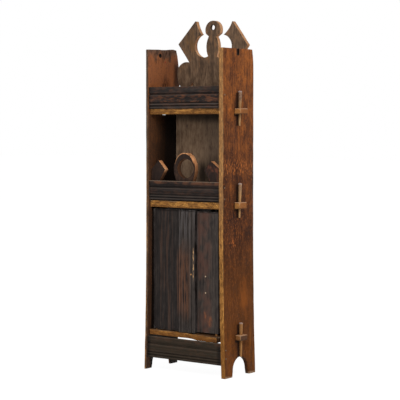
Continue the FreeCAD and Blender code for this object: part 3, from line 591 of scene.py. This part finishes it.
def narrow_door_wear_and_shade(board, colours):
    """The narrow door has rubbed patches near its foot, two pale specks, and painted shadow at its head."""
    low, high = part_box("right_door_board")
    red = (board.mottle * 0.5 + board.cloud * 0.5).step(0.4, 0.6) * board.x.step(0.17, 0.13)
    board.coat(red * 0.7, rgb(80, 55, 46))
    shaded_head(board, colours, high.z, 12)
    for centre, reach in (((0.117, low.y, 0.305), mm(12, 20, 44)),
                          ((0.146, low.y, 0.275), mm(22, 20, 40))):
        streaky = (board.pore * 0.5 + board.dash * 0.5).step(0.45, 0.56)
        board.coat(board.spot(centre, reach) * streaky * 0.8, rgb(132, 78, 48))
    for height in (0.502, 0.419):
        board.coat(board.spot((0.1188, low.y, height), mm(5, 12, 5)), rgb(196, 170, 140))


def sawn_edge(board, shades):
    """Sawn end grain, in shades from its dirt to its rubbed places."""
    return board.ramp(board.figured(gain=2.4, streak=0.2, dash=0.4, mottle=0.4), shades)


def between_faces(board, node):
    """1 on the edges that the saw cut, 0 on the front and the back of an upright board."""
    low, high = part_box(node)
    return board.y.near(low.y, 1.5, 2.5) * board.y.near(high.y, -1.5, -2.5)


# A reach so long that the place along that axis makes no difference.
ANY_DEPTH = 100
# Places of the niche's back that lie in the shade.
BACK_SHADED = (((0.0, 0.099, 1.318), mm(500, 60, 65)),
               ((0.01, 0.099, 1.01), mm(85, 60, 110)),
               ((-0.055, 0.099, 1.01), mm(42, 60, 95)),
               ((0.0, 0.099, 0.88), mm(400, 60, 110)))


def back_finish(shift, colours):
    """Dry grey-brown board with pale upright streaks, a yellowed wing and tan sawn edges."""
    board = Board("back_board_wood", "Z", shift)
    x, y, z = board.x, board.y, board.z
    front = y.step(0.112, 0.106)
    niche = z.step(1.38, 1.32) * front
    crest = z.step(1.5, 1.6)
    right = x.step(0.04, 0.1) * crest
    figure = board.figured(gain=3.0, streak=0.25, dash=0.35, mottle=0.3, pore=0.1)
    # Inside the niche the board is painted lighter, as painted light.
    figure = figure + niche * 0.3 - crest * 0.02 + right * 0.09
    board.wood = board.ramp(figure, [colours.back_dark, colours.back_mid, colours.back_light])
    patches = crest * (board.mottle * 0.5 + board.dash * 0.5).step(0.52, 0.64)
    board.coat(patches * 0.5, rgb(118, 78, 46))
    board.coat(board.mottle.step(0.46, 0.36) * crest * 0.3, colours.back_dark)
    yellow = board.spot((-0.12, 0.099, 1.69), mm(70, 60, 90)) * board.mottle.step(0.36, 0.58)
    board.coat(yellow * 0.65, rgb(104, 74, 42))
    # Painted shade darkens the niche's back towards the right plank.
    board.coat(x.step(-0.12, 0.04) * niche * 0.45, rgb(56, 50, 46))
    for centre, reach in BACK_SHADED:
        board.coat(board.spot(centre, reach) * front * 0.85, colours.soot_and_shade)
    knot = board.spot((-0.156, 0.099, 1.258), mm(8, 30, 18))
    board.coat(knot * 0.7, colours.black)
    cut = sawn_edge(board, [rgb(112, 72, 46), colours.sawn, colours.sawn_light])
    shaded = z.band(1.655, 1.70, 15 * MM) * x.step(-0.04, -0.06)
    cut = cut.coat(shaded * 0.65, rgb(106, 72, 50))
    board.coat(between_faces(board, "back_board"), cut)
    # The crest's hole and its wall are painted dark, as painted shade.
    hole_shade = board.far((12 * MM, 0, 1.764), (12 * MM, ANY_DEPTH, 12 * MM))
    board.coat(hole_shade.step(1.35, 1.15) * 0.95, rgb(40, 28, 21))
    return board.close(0.68, 1.4 * MM)


def fret_finish(shift, colours):
    """Dark fret board, reddish on its right wing, with tan sawn edges."""
    board = Board("fret_wood", "Z", shift)
    x, z = board.x, board.z
    figure = board.figured(gain=2.6, streak=0.3, dash=0.35, mottle=0.3, pore=0.05)
    board.wood = board.ramp(figure, [rgb(22, 16, 14), rgb(47, 34, 28), rgb(82, 59, 45)])
    wings = board.math("ABSOLUTE", x).step(0.06, 0.1)
    board.coat(wings * 0.6, rgb(33, 26, 24))
    right = x.step(0.09, 0.13) * (board.mottle * 0.6 + board.tick * 0.4).step(0.5, 0.62)
    board.coat(right * 0.6, rgb(104, 60, 44))
    cut = sawn_edge(board, [rgb(150, 90, 52), rgb(222, 156, 106), rgb(246, 196, 150)])
    # Painted shade darkens the sawn edges that face down: low on the ring, and on the wings' lower edges.
    cut = cut.coat(z.step(1.06, 0.98) * 0.65, rgb(92, 58, 38))
    cut = cut.coat(z.step(1.035, 1.015) * wings * 0.75, rgb(72, 46, 33))
    cut = cut.coat(z.step(1.085, 1.05) * (1.0 - wings) * 0.6, rgb(112, 72, 48))
    # The wall of the ring's opening is painted dark, as painted shade.
    inner = board.far((-6 * MM, 0, 1.043), (53 * MM, ANY_DEPTH, 48.5 * MM))
    cut = cut.coat(inner.step(1.14, 1.06) * 0.85, rgb(66, 44, 33))
    # A painted highlight carries the sawn colour onto the ring's upper outer edge, strongest at the right.
    outer = board.far((-13 * MM, 0, 1.062), (60 * MM, ANY_DEPTH, 60 * MM))
    rim = outer.band(0.95, 1.1, 0.04) * z.step(1.06, 1.09)
    rim = rim * (x.step(-0.06, -0.01) * 0.5 + 0.5)
    ring = outer.step(0.96, 0.92) * z.step(1.0, 1.03)
    board.coat(ring * 0.7, rgb(38, 30, 26))
    sawn = board.math("MAXIMUM", between_faces(board, "fret_board"), rim * 0.9)
    board.coat(sawn, cut)
    return board.close(0.62, 1.4 * MM)


def key_finish(name, shift, colours, greyed, bias):
    """A tan key, greyed at its head by hammer and hand, with painted shade on its front face and next to the
    plank.
    """
    low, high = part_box(name)
    board = Board(name + "_wood", "Z", shift)
    figure = board.figured(gain=2.2, streak=0.35, dash=0.35, mottle=0.3)
    board.wood = board.ramp(figure + bias, [rgb(92, 60, 36), colours.key, rgb(192, 150, 102)])
    board.coat(max(0.0, 0.65 - greyed), rgb(140, 88, 34))
    tall = high.z - low.z
    head = board.z.step(low.z + tall * 0.6, low.z + tall * 0.85)
    board.coat(head * greyed, colours.key_grey)
    board.coat(head * board.fleck.step(0.46, 0.6) * greyed, rgb(66, 52, 47))
    board.coat(board.worn_arris(0.8, 1.3) * (0.2 + 0.5 * greyed), rgb(190, 154, 112))
    # The key's front face is painted darker, as painted shade.
    shaded_front = board.y.near(low.y, 5, 1)
    board.coat(shaded_front * (0.1 + 0.35 * greyed), rgb(66, 44, 32))
    # Painted shade darkens the key next to the plank.
    away = board.math("ABSOLUTE", board.x) - min(abs(low.x), abs(high.x))
    board.coat(away.step(7 * MM, 3.5 * MM) * 0.8, rgb(44, 29, 20))
    tip = board.z.near(high.z, -11, -4)
    board.coat(tip * 0.6, rgb(168, 152, 147))
    return board.close(0.6, 0.9 * MM)


def pin_finish(name, colours):
    """A door pin: pale where it shows at the door's foot, black with grime at the head."""
    board = Board(name + "_wood", "Z", (5.0, 1.0, 2.0))
    board.wood = board.mix(board.z.step(0.3, 0.6), rgb(116, 78, 44), colours.soot_and_shade)
    board.coat(board.dash.step(0.45, 0.6) * 0.5, colours.soot_and_shade)
    return board.close(0.6, 0.5 * MM)


def iron_finish(colours):
    """Dull iron with rust in the hammer marks."""
    finish = Finish("nail_iron")
    marks = finish.noise(mm(1.4, 1.4, 1.4))
    rust = finish.mix(marks.step(0.45, 0.62), colours.iron, rgb(96, 62, 44))
    return finish.surface(rust, marks * 0.3 + 0.45, marks, 0.3 * MM, shine=0.4)


# Modelling

# Angles between faces: from which there is a corner, below which shading is smooth and both count as flat.
SHARP = math.radians(28)
SMOOTH = math.radians(32)
FLAT = math.radians(0.5)
SAME_PLACE = 0.02 * MM
# How far a cut may lie from its even place, as a share of a cell, and the least share of the room it wants.
DRIFT = 0.4
LEAST_ROOM = 0.25
# The share of an edge that the rounding at each of its ends may take.
EDGE_SHARE = 0.45
# How worn an arris is: at least, on average, and how far that swings along it.
LEAST_WEAR = 0.35
MEAN_WEAR = 0.5
WEAR_SWING = 0.9
# The grey of the clouds that stays level. All darker ones sink.
LEVEL_GREY = 0.9


def activate(piece):
    bpy.ops.object.select_all(action="DESELECT")
    piece.select_set(True)
    bpy.context.view_layer.objects.active = piece


def switch(mode):
    bpy.ops.object.mode_set(mode=mode)


def worn_copy(node, name, cuts, arris, lump=45 * MM):
    """A new piece in the shape of a node's solid, cut into cells along the axes given, with worn corners."""
    piece = bpy.data.objects.new(name, frame["nodes"][node].data.copy())
    bpy.context.scene.collection.objects.link(piece)
    piece.data.materials.clear()
    activate(piece)
    switch("EDIT")
    bpy.ops.mesh.select_mode(type="EDGE")
    bpy.ops.mesh.select_all(action="SELECT")
    bpy.ops.mesh.remove_doubles(threshold=SAME_PLACE)
    switch("OBJECT")
    places = {axis: clear_places(piece, axis, step, arris) for axis, step in cuts.items()}
    switch("EDIT")
    for axis, wheres in places.items():
        normal = Vector([letter == axis for letter in "XYZ"])
        for where in wheres:
            bpy.ops.mesh.select_all(action="SELECT")
            bpy.ops.mesh.bisect(plane_co=normal * where, plane_no=normal)
            bpy.ops.mesh.mark_seam(clear=False)
    bpy.ops.mesh.select_all(action="SELECT")
    bpy.ops.mesh.dissolve_limited(angle_limit=FLAT, delimit={"SEAM"})
    bpy.ops.mesh.select_all(action="SELECT")
    bpy.ops.mesh.mark_seam(clear=True)
    bpy.ops.mesh.vert_connect_concave()
    switch("OBJECT")
    wear_arrises(piece, arris, lump)
    return piece


def clear_places(piece, axis, step, clear):
    """Places about a step apart along one axis, each as clear of the corners around it as can be."""
    index = "XYZ".index(axis)
    taken = sorted({vertex.co[index] for vertex in piece.data.vertices})
    gaps = list(zip(taken, taken[1:]))
    count = max(1, round((taken[-1] - taken[0]) / step))
    places = []
    for number in range(1, count):
        even = taken[0] + (taken[-1] - taken[0]) * number / count
        choices = []
        for before, after in gaps:
            free = min((after - before) / 2, clear)
            where = min(max(even, before + free), after - free)
            if abs(where - even) < step * DRIFT and free > clear * LEAST_ROOM:
                choices.append((free, -abs(where - even), where))
        if choices:
            places.append(max(choices)[2])
    return places


def corners_of(mesh):
    """The sharp edges, each with True where it stands out and False where it is an inner corner."""
    beside = {}
    for face in mesh.polygons:
        for key in face.edge_keys:
            beside.setdefault(key, []).append(face)
    corners = []
    for edge in mesh.edges:
        faces = beside[edge.key]
        if len(faces) == 2 and faces[0].normal.angle(faces[1].normal, 0) > SHARP:
            corners.append((edge, (faces[1].center - faces[0].center).dot(faces[0].normal) < 0))
    return corners


def free_room(mesh):
    """How far a corner can be rounded at each vertex before it meets the next one."""
    room = [1.0] * len(mesh.vertices)
    for edge in mesh.edges:
        first, second = edge.vertices
        span = (mesh.vertices[first].co - mesh.vertices[second].co).length
        for number in (first, second):
            room[number] = min(room[number], span * EDGE_SHARE)
    return room


def wear_arrises(piece, width, lump):
    """Round every sharp corner by a width that changes along it, and mark corners for the finish."""
    mesh = piece.data
    weights = mesh.attributes.new("bevel_weight_edge", "FLOAT", "EDGE")
    arris = mesh.attributes.new("arris", "FLOAT", "POINT")
    crease = mesh.attributes.new("crease", "FLOAT", "POINT")
    room = free_room(mesh)
    for edge, outer in corners_of(mesh):
        first, second = edge.vertices
        middle = (mesh.vertices[first].co + mesh.vertices[second].co) / 2
        share = max(LEAST_WEAR, MEAN_WEAR + noise.noise(middle / lump) * WEAR_SWING) if outer else LEAST_WEAR
        weights.data[edge.index].value = min(1.0, share, room[first] / width, room[second] / width)
        for number in (first, second):
            (arris if outer else crease).data[number].value = 1.0
    activate(piece)
    bevel = piece.modifiers.new("worn arrises", "BEVEL")
    bevel.limit_method = "WEIGHT"
    bevel.width = width
    bevel.segments = 2
    bevel.use_clamp_overlap = False
    bpy.ops.object.modifier_apply(modifier=bevel.name)


def hollow(piece, depth, size):
    """Sink the surface in places, as a hand plane and wear leave it."""
    activate(piece)
    texture = bpy.data.textures.new(piece.name + "_hollows", "CLOUDS")
    texture.noise_scale = size
    texture.noise_depth = 1
    displace = piece.modifiers.new("hollows", "DISPLACE")
    displace.texture = texture
    displace.texture_coords = "LOCAL"
    displace.mid_level = LEVEL_GREY
    displace.strength = depth
    bpy.ops.object.modifier_apply(modifier=displace.name)


def pull(piece, low, high, move, reach):
    """Move the vertices inside a box, and their neighbours within reach less and less."""
    activate(piece)
    switch("EDIT")
    bpy.ops.mesh.select_mode(type="VERT")
    bpy.ops.mesh.select_all(action="DESELECT")
    switch("OBJECT")
    found = 0
    for vertex in piece.data.vertices:
        vertex.select = all(low[axis] <= vertex.co[axis] <= high[axis] for axis in range(3))
        found += vertex.select
    if not found:
        raise RuntimeError("nothing of %s is there to pull" % piece.name)
    switch("EDIT")
    bpy.ops.transform.translate(value=move, use_proportional_edit=True, proportional_size=reach,
                                proportional_edit_falloff="SMOOTH")
    switch("OBJECT")


def seat(piece, node, material, depth, size):
    """Hollow a piece, give it its surface, and let it stand for its node on the node's body."""
    hollow(piece, depth, size)
    piece.data.materials.append(material)
    bpy.ops.object.shade_smooth_by_angle(angle=SMOOTH)
    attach(piece, frame["nodes"][node]["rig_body"])
    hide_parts(node)


def settings(context):
    return context.scene.cupboard_shape, context.scene.cupboard_colours


class Step:
    """What the modelling operators share: they build with the scene's settings, and are then done."""

    def execute(self, context):
        self.build(*settings(context))
        return {"FINISHED"}


class CUPBOARD_OT_sides(Step, bpy.types.Operator):
    """Model the two side planks with worn arrises and hand-planed faces"""

    bl_idname = "cupboard.sides"
    bl_label = "Side planks"

    def build(self, shape, colours):
        finishes = {"left_side": left_plank_finish((0.3, 0.7, 0.1), colours),
                    "right_side": right_plank_finish((4.1, 2.2, 0.6), colours)}
        cuts = {"Z": shape.plank_cell, "Y": shape.plank_cell}
        for node, finish in finishes.items():
            piece = worn_copy(node, node + "_plank", cuts, shape.plank_arris)
            if node == "left_side":
                self.wear_top(piece, node, shape)
            seat(piece, node, finish, shape.plane_marks, 70 * MM)

    def wear_top(self, piece, node, shape):
        """The left plank's top edge dips, and its back corner is rounded off."""
        low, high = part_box(node)
        top = high.z - 14 * MM
        pull(piece, (low.x, -10 * MM, top), (high.x, 30 * MM, high.z), (0, 0, -shape.dip * 0.6), 45 * MM)
        pull(piece, (low.x, 98 * MM, top), high, (0, -shape.dip * 0.5, -shape.dip), 18 * MM)


class CUPBOARD_OT_shelves(Step, bpy.types.Operator):
    """Model the three shelves with uneven front edges and rounded tenons"""

    bl_idname = "cupboard.shelves"
    bl_label = "Shelves"

    # How light each shelf's bare edge is, how soiled along its foot and how far it has browned.
    TONES = {"top_shelf": (-0.05, 0.6, 0.0),
             "middle_shelf": (0.15, 0.25, 0.0),
             "bottom_shelf": (-0.1, 0.6, 0.5)}

    def build(self, shape, colours):
        cuts = {"X": shape.plank_cell, "Y": shape.plank_cell, "Z": shape.shelf_cell}
        for number, (node, tone) in enumerate(self.TONES.items()):
            piece = worn_copy(node, node + "_board", cuts, shape.plank_arris)
            if node == "bottom_shelf":
                self.warp_front(piece, node, shape)
            finish = shelf_finish(node, (1.7 * number, 0.4, 2.9 * number), colours, *tone)
            seat(piece, node, finish, shape.plane_marks, 60 * MM)

    def warp_front(self, piece, node, shape):
        """The bottom shelf's front edge hangs down at the right, dips beside a step and stops short."""
        low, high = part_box(node)
        front = low.y + 12 * MM
        middle = (low.z + high.z) / 2
        under = low.z - 20 * MM
        short_end = (-shape.short, shape.dip, 0)
        pull(piece, (66 * MM, low.y, under), (212 * MM, front, middle), (0, 0, -shape.sag), 40 * MM)
        pull(piece, (130 * MM, low.y, middle), (215 * MM, front, high.z), (0, 0, -shape.sag * 0.5), 40 * MM)
        pull(piece, (30 * MM, low.y, middle), (56 * MM, front, high.z), (0, 0, -shape.dip), 22 * MM)
        pull(piece, (214 * MM, low.y, under), (240 * MM, front, high.z), short_end, 14 * MM)


class CUPBOARD_OT_keys(Step, bpy.types.Operator):
    """Model the six tapered keys that lock the tenons"""

    bl_idname = "cupboard.keys"
    bl_label = "Keys"

    # How grey the heads of each shelf's keys are, and how light their wood.
    TONES = {"top": (0.6, 0.2), "middle": (0.4, 0.7), "bottom": (0.05, 0.22)}

    def build(self, shape, colours):
        cuts = {axis: shape.key_cell for axis in "XYZ"}
        sides = ("_left_key", "_right_key")
        keys = [(shelf + side, tone) for shelf, tone in self.TONES.items() for side in sides]
        for number, (node, tone) in enumerate(keys):
            piece = worn_copy(node, node + "_peg", cuts, shape.key_arris, 20 * MM)
            shift = (0.31 * number, 0.17 * number, 0.53 * number)
            seat(piece, node, key_finish(node, shift, colours, *tone), shape.rail_marks, 18 * MM)


class CUPBOARD_OT_back(Step, bpy.types.Operator):
    """Model the back board with its fretted crest"""

    bl_idname = "cupboard.back"
    bl_label = "Back board"

    LOBE_FOOT = 1.45
    # What hangs down of the crest's lobes: from X, to X, up to Z, share of the drop aside, and reach.
    DROPS = ((-0.200, -0.135, 1.482, 0.0, 26 * MM),
             (0.130, 0.195, 1.482, 0.0, 26 * MM),
             (-0.215, -0.182, 1.495, -0.6, 18 * MM))

    def build(self, shape, colours):
        piece = worn_copy("back_board", "crested_back_board", {"Z": shape.plank_cell, "X": shape.plank_cell},
                          shape.plank_arris)
        low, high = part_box("back_board")
        for left, right, top, aside, reach in self.DROPS:
            move = (aside * shape.lobe_drop, 0, -shape.lobe_drop)
            pull(piece, (left, low.y, self.LOBE_FOOT), (right, high.y, top), move, reach)
        finish = back_finish((2.4, 0.2, 1.3), colours)
        seat(piece, "back_board", finish, shape.plane_marks, 80 * MM)


class CUPBOARD_OT_fret(Step, bpy.types.Operator):
    """Model the fret board with its ring and wings"""

    bl_idname = "cupboard.fret"
    bl_label = "Fret board"

    def build(self, shape, colours):
        piece = worn_copy("fret_board", "ring_fret_board", {"Z": shape.plank_cell, "X": shape.plank_cell},
                          shape.plank_arris)
        finish = fret_finish((0.9, 3.2, 0.5), colours)
        seat(piece, "fret_board", finish, shape.plane_marks, 50 * MM)


def black_piece(shape, node, name, cuts, finish, size):
    """A rail or a board of a door: thin arrises, shallow dents and black stain."""
    piece = worn_copy(node, name, cuts, shape.rail_arris, 30 * MM)
    seat(piece, node, finish, shape.rail_marks, size)


class CUPBOARD_OT_rails(Step, bpy.types.Operator):
    """Model the three reeded rails"""

    bl_idname = "cupboard.rails"
    bl_label = "Rails"

    # How red each rail's broad flat is rubbed, how pale its top is and how far it has dulled to olive.
    RUBBED = {"top_rail": (0.55, 0.1, 0.0),
              "middle_rail": (0.12, 0.75, 0.0),
              "bottom_rail": (0.2, 0.2, 0.5)}

    def build(self, shape, colours):
        cuts = {"X": shape.plank_cell, "Z": shape.reed_cell}
        for number, (node, rubbed) in enumerate(self.RUBBED.items()):
            shift = (1.1 * number, 0.8, 0.3 + number)
            wear = rail_wear_and_shade(node, *rubbed)
            finish = black_finish(node + "_stain", "X", shift, colours, 0.0, -0.05, wear)
            black_piece(shape, node, "reeded_" + node, cuts, finish, 60 * MM)


class CUPBOARD_OT_doors(Step, bpy.types.Operator):
    """Model the two plank doors, the reeded strip, the battens and the stop"""

    bl_idname = "cupboard.doors"
    bl_label = "Doors"

    # Each board in front: node, name, stain, shift of the grain, how worn and how light, and its own wear
    # and painted shade.
    FRONT = (("left_door_board", "wide_door_plank", "wide_door_stain",
              (0.4, 1.8, 0.7), -0.1, -0.08, wide_door_wear_and_shade),
             ("right_door_board", "narrow_door_plank", "narrow_door_stain",
              (2.3, 0.6, 1.7), 0.02, 0.22, narrow_door_wear_and_shade),
             ("left_door_strip", "reeded_door_strip", "door_strip_stain",
              (4.6, 1.2, 2.7), 0.0, 0.2, strip_wear_and_shade))
    # How worn and light the pieces behind the doors are.
    GRIMED = {"left_door_lower_batten": 0.0, "left_door_upper_batten": 0.0, "door_stop": -0.6}

    def build(self, shape, colours):
        for node, name, stained, shift, worn, bias, wear in self.FRONT:
            cell = shape.reed_cell if node == "left_door_strip" else shape.plank_cell
            finish = black_finish(stained, "Z", shift, colours, worn, bias, wear)
            black_piece(shape, node, name, {"Z": shape.plank_cell, "X": cell}, finish, 70 * MM)
        for number, (node, tone) in enumerate(self.GRIMED.items()):
            finish = black_finish(node + "_stain", "X", (1.3 * number, 0.6, 0.2), colours, tone, tone)
            black_piece(shape, node, "sawn_" + node, {"X": shape.plank_cell}, finish, 50 * MM)


class CUPBOARD_OT_fixings(Step, bpy.types.Operator):
    """Finish the nails and the door pins"""

    bl_idname = "cupboard.fixings"
    bl_label = "Nails and pins"

    def build(self, shape, colours):
        iron = iron_finish(colours)
        for node, item in frame["nodes"].items():
            if node.endswith(("_nails", "_pins")):
                item.data.materials.clear()
                item.data.materials.append(iron if node.endswith("_nails") else pin_finish(node, colours))


class CUPBOARD_OT_stage(bpy.types.Operator):
    """Set up the floor, the studio light and the camera"""

    bl_idname = "cupboard.stage"
    bl_label = "Stage"

    # Where the camera stands, as solved from the photo. The focal length is in the photo's pixels.
    VIEW_TURN = math.radians(37.49)
    VIEW_RISE = math.radians(2.92)
    VIEW_FOCAL = 1430.28
    VIEW_DISTANCE = 7.32635
    VIEW_HEIGHT = 0.87954
    VIEW_SIDE = 0.00453
    PHOTO_WIDTH = 400
    SENSOR = 36.0
    FLOOR_SIZE = 80.0
    FLOOR_DROP = 0.5 * MM
    WHITE = (1, 1, 1, 1)
    PAPER = rgb(236, 236, 236)
    # How bright the paper glows, the share of that glow in what is seen, and the light from all around.
    PAPER_GLOW = 1.15
    PAPER_SHARE = 0.82
    SOFT_LIGHT = 0.42
    # Name, place, target, size and power of each lamp.
    LAMPS = (("window_light", (3.5, 1.6, 2.9), (0.1, 0.0, 1.0), (1.4, 2.0), 45),
             ("front_light", (2.7, -3.2, 3.5), (0.0, 0.0, 0.9), (2.0, 2.0), 120),
             ("fill_light", (0.5, -5.0, 1.3), (0.0, 0.0, 0.9), (2.6, 2.0), 60))

    def execute(self, context):
        self.lay_floor()
        self.set_world(context)
        for lamp in self.LAMPS:
            self.hang_lamp(*lamp)
        self.set_camera(context)
        context.scene.view_settings.view_transform = "Standard"
        return {"FINISHED"}

    def lay_floor(self):
        bpy.ops.mesh.primitive_plane_add(size=self.FLOOR_SIZE, location=(0, 0, -self.FLOOR_DROP))
        floor = bpy.context.object
        floor.name = "studio_floor"
        paper = Nodes(bpy.data.materials.new("studio_paper"))
        white = paper.node("ShaderNodeEmission", {"Color": self.WHITE, "Strength": self.PAPER_GLOW})
        matt = paper.node("ShaderNodeBsdfDiffuse", {"Color": self.PAPER})
        seen = paper.seen_rays() * self.PAPER_SHARE
        shown = paper.node("ShaderNodeMixShader", {0: seen, 1: matt, 2: white})
        paper.node("ShaderNodeOutputMaterial", {"Surface": shown})
        floor.data.materials.append(paper.owner)

    def set_world(self, context):
        context.scene.world = bpy.data.worlds.new("studio")
        sky = Nodes(context.scene.world)
        white = sky.node("ShaderNodeBackground", {"Color": self.WHITE, "Strength": 1.0})
        soft = sky.node("ShaderNodeBackground", {"Color": self.WHITE, "Strength": self.SOFT_LIGHT})
        shown = sky.node("ShaderNodeMixShader", {0: sky.seen_rays(), 1: soft, 2: white})
        sky.node("ShaderNodeOutputWorld", {"Surface": shown})

    def hang_lamp(self, name, place, target, size, power):
        bpy.ops.object.light_add(type="AREA", location=place)
        lamp = bpy.context.object
        lamp.name = name
        lamp.data.shape = "RECTANGLE"
        lamp.data.size, lamp.data.size_y = size
        lamp.data.energy = power
        aim = Vector(target) - Vector(place)
        lamp.rotation_euler = aim.to_track_quat("-Z", "Y").to_euler()

    def set_camera(self, context):
        turn, rise = self.VIEW_TURN, self.VIEW_RISE
        back = Vector((math.sin(turn) * math.cos(rise), -math.cos(turn) * math.cos(rise), math.sin(rise)))
        right = Vector((math.cos(turn), math.sin(turn), 0))
        target = Vector((0, 0, self.VIEW_HEIGHT)) + right * self.VIEW_SIDE
        bpy.ops.object.camera_add()
        camera = bpy.context.object
        camera.name = "photo_camera"
        axes = Matrix((right, back.cross(right), back)).transposed()
        camera.matrix_world = Matrix.Translation(target + back * self.VIEW_DISTANCE) @ axes.to_4x4()
        camera.data.sensor_width = self.SENSOR
        camera.data.lens = self.VIEW_FOCAL * self.SENSOR / self.PHOTO_WIDTH
        camera.data.clip_end = self.FLOOR_SIZE * 2
        context.scene.camera = camera


STEPS = (CUPBOARD_OT_sides, CUPBOARD_OT_shelves, CUPBOARD_OT_keys, CUPBOARD_OT_back, CUPBOARD_OT_fret,
         CUPBOARD_OT_rails, CUPBOARD_OT_doors, CUPBOARD_OT_fixings, CUPBOARD_OT_stage)


class CUPBOARD_PT_panel(bpy.types.Panel):
    """The cupboard's pieces, one button each"""

    bl_idname = "CUPBOARD_PT_panel"
    bl_label = "Plank Cupboard"
    bl_space_type = "VIEW_3D"
    bl_region_type = "UI"
    bl_category = "Cupboard"

    def draw(self, context):
        for step in STEPS:
            self.layout.operator(step.bl_idname)
        for group in settings(context):
            for name in group.bl_rna.properties.keys():
                if name not in ("rna_type", "name"):
                    self.layout.prop(group, name, text=name.replace("_", " ").capitalize())


CLASSES = (CupboardShape, CupboardColours, *STEPS, CUPBOARD_PT_panel)


def register():
    for item in CLASSES:
        bpy.utils.register_class(item)
    bpy.types.Scene.cupboard_shape = bpy.props.PointerProperty(type=CupboardShape)
    bpy.types.Scene.cupboard_colours = bpy.props.PointerProperty(type=CupboardColours)


def unregister():
    del bpy.types.Scene.cupboard_colours
    del bpy.types.Scene.cupboard_shape
    for item in reversed(CLASSES):
        bpy.utils.unregister_class(item)


def main():
    register()
    for step in STEPS:
        getattr(bpy.ops.cupboard, step.bl_idname.split(".")[1])()


if __name__ == "__main__":
    main()
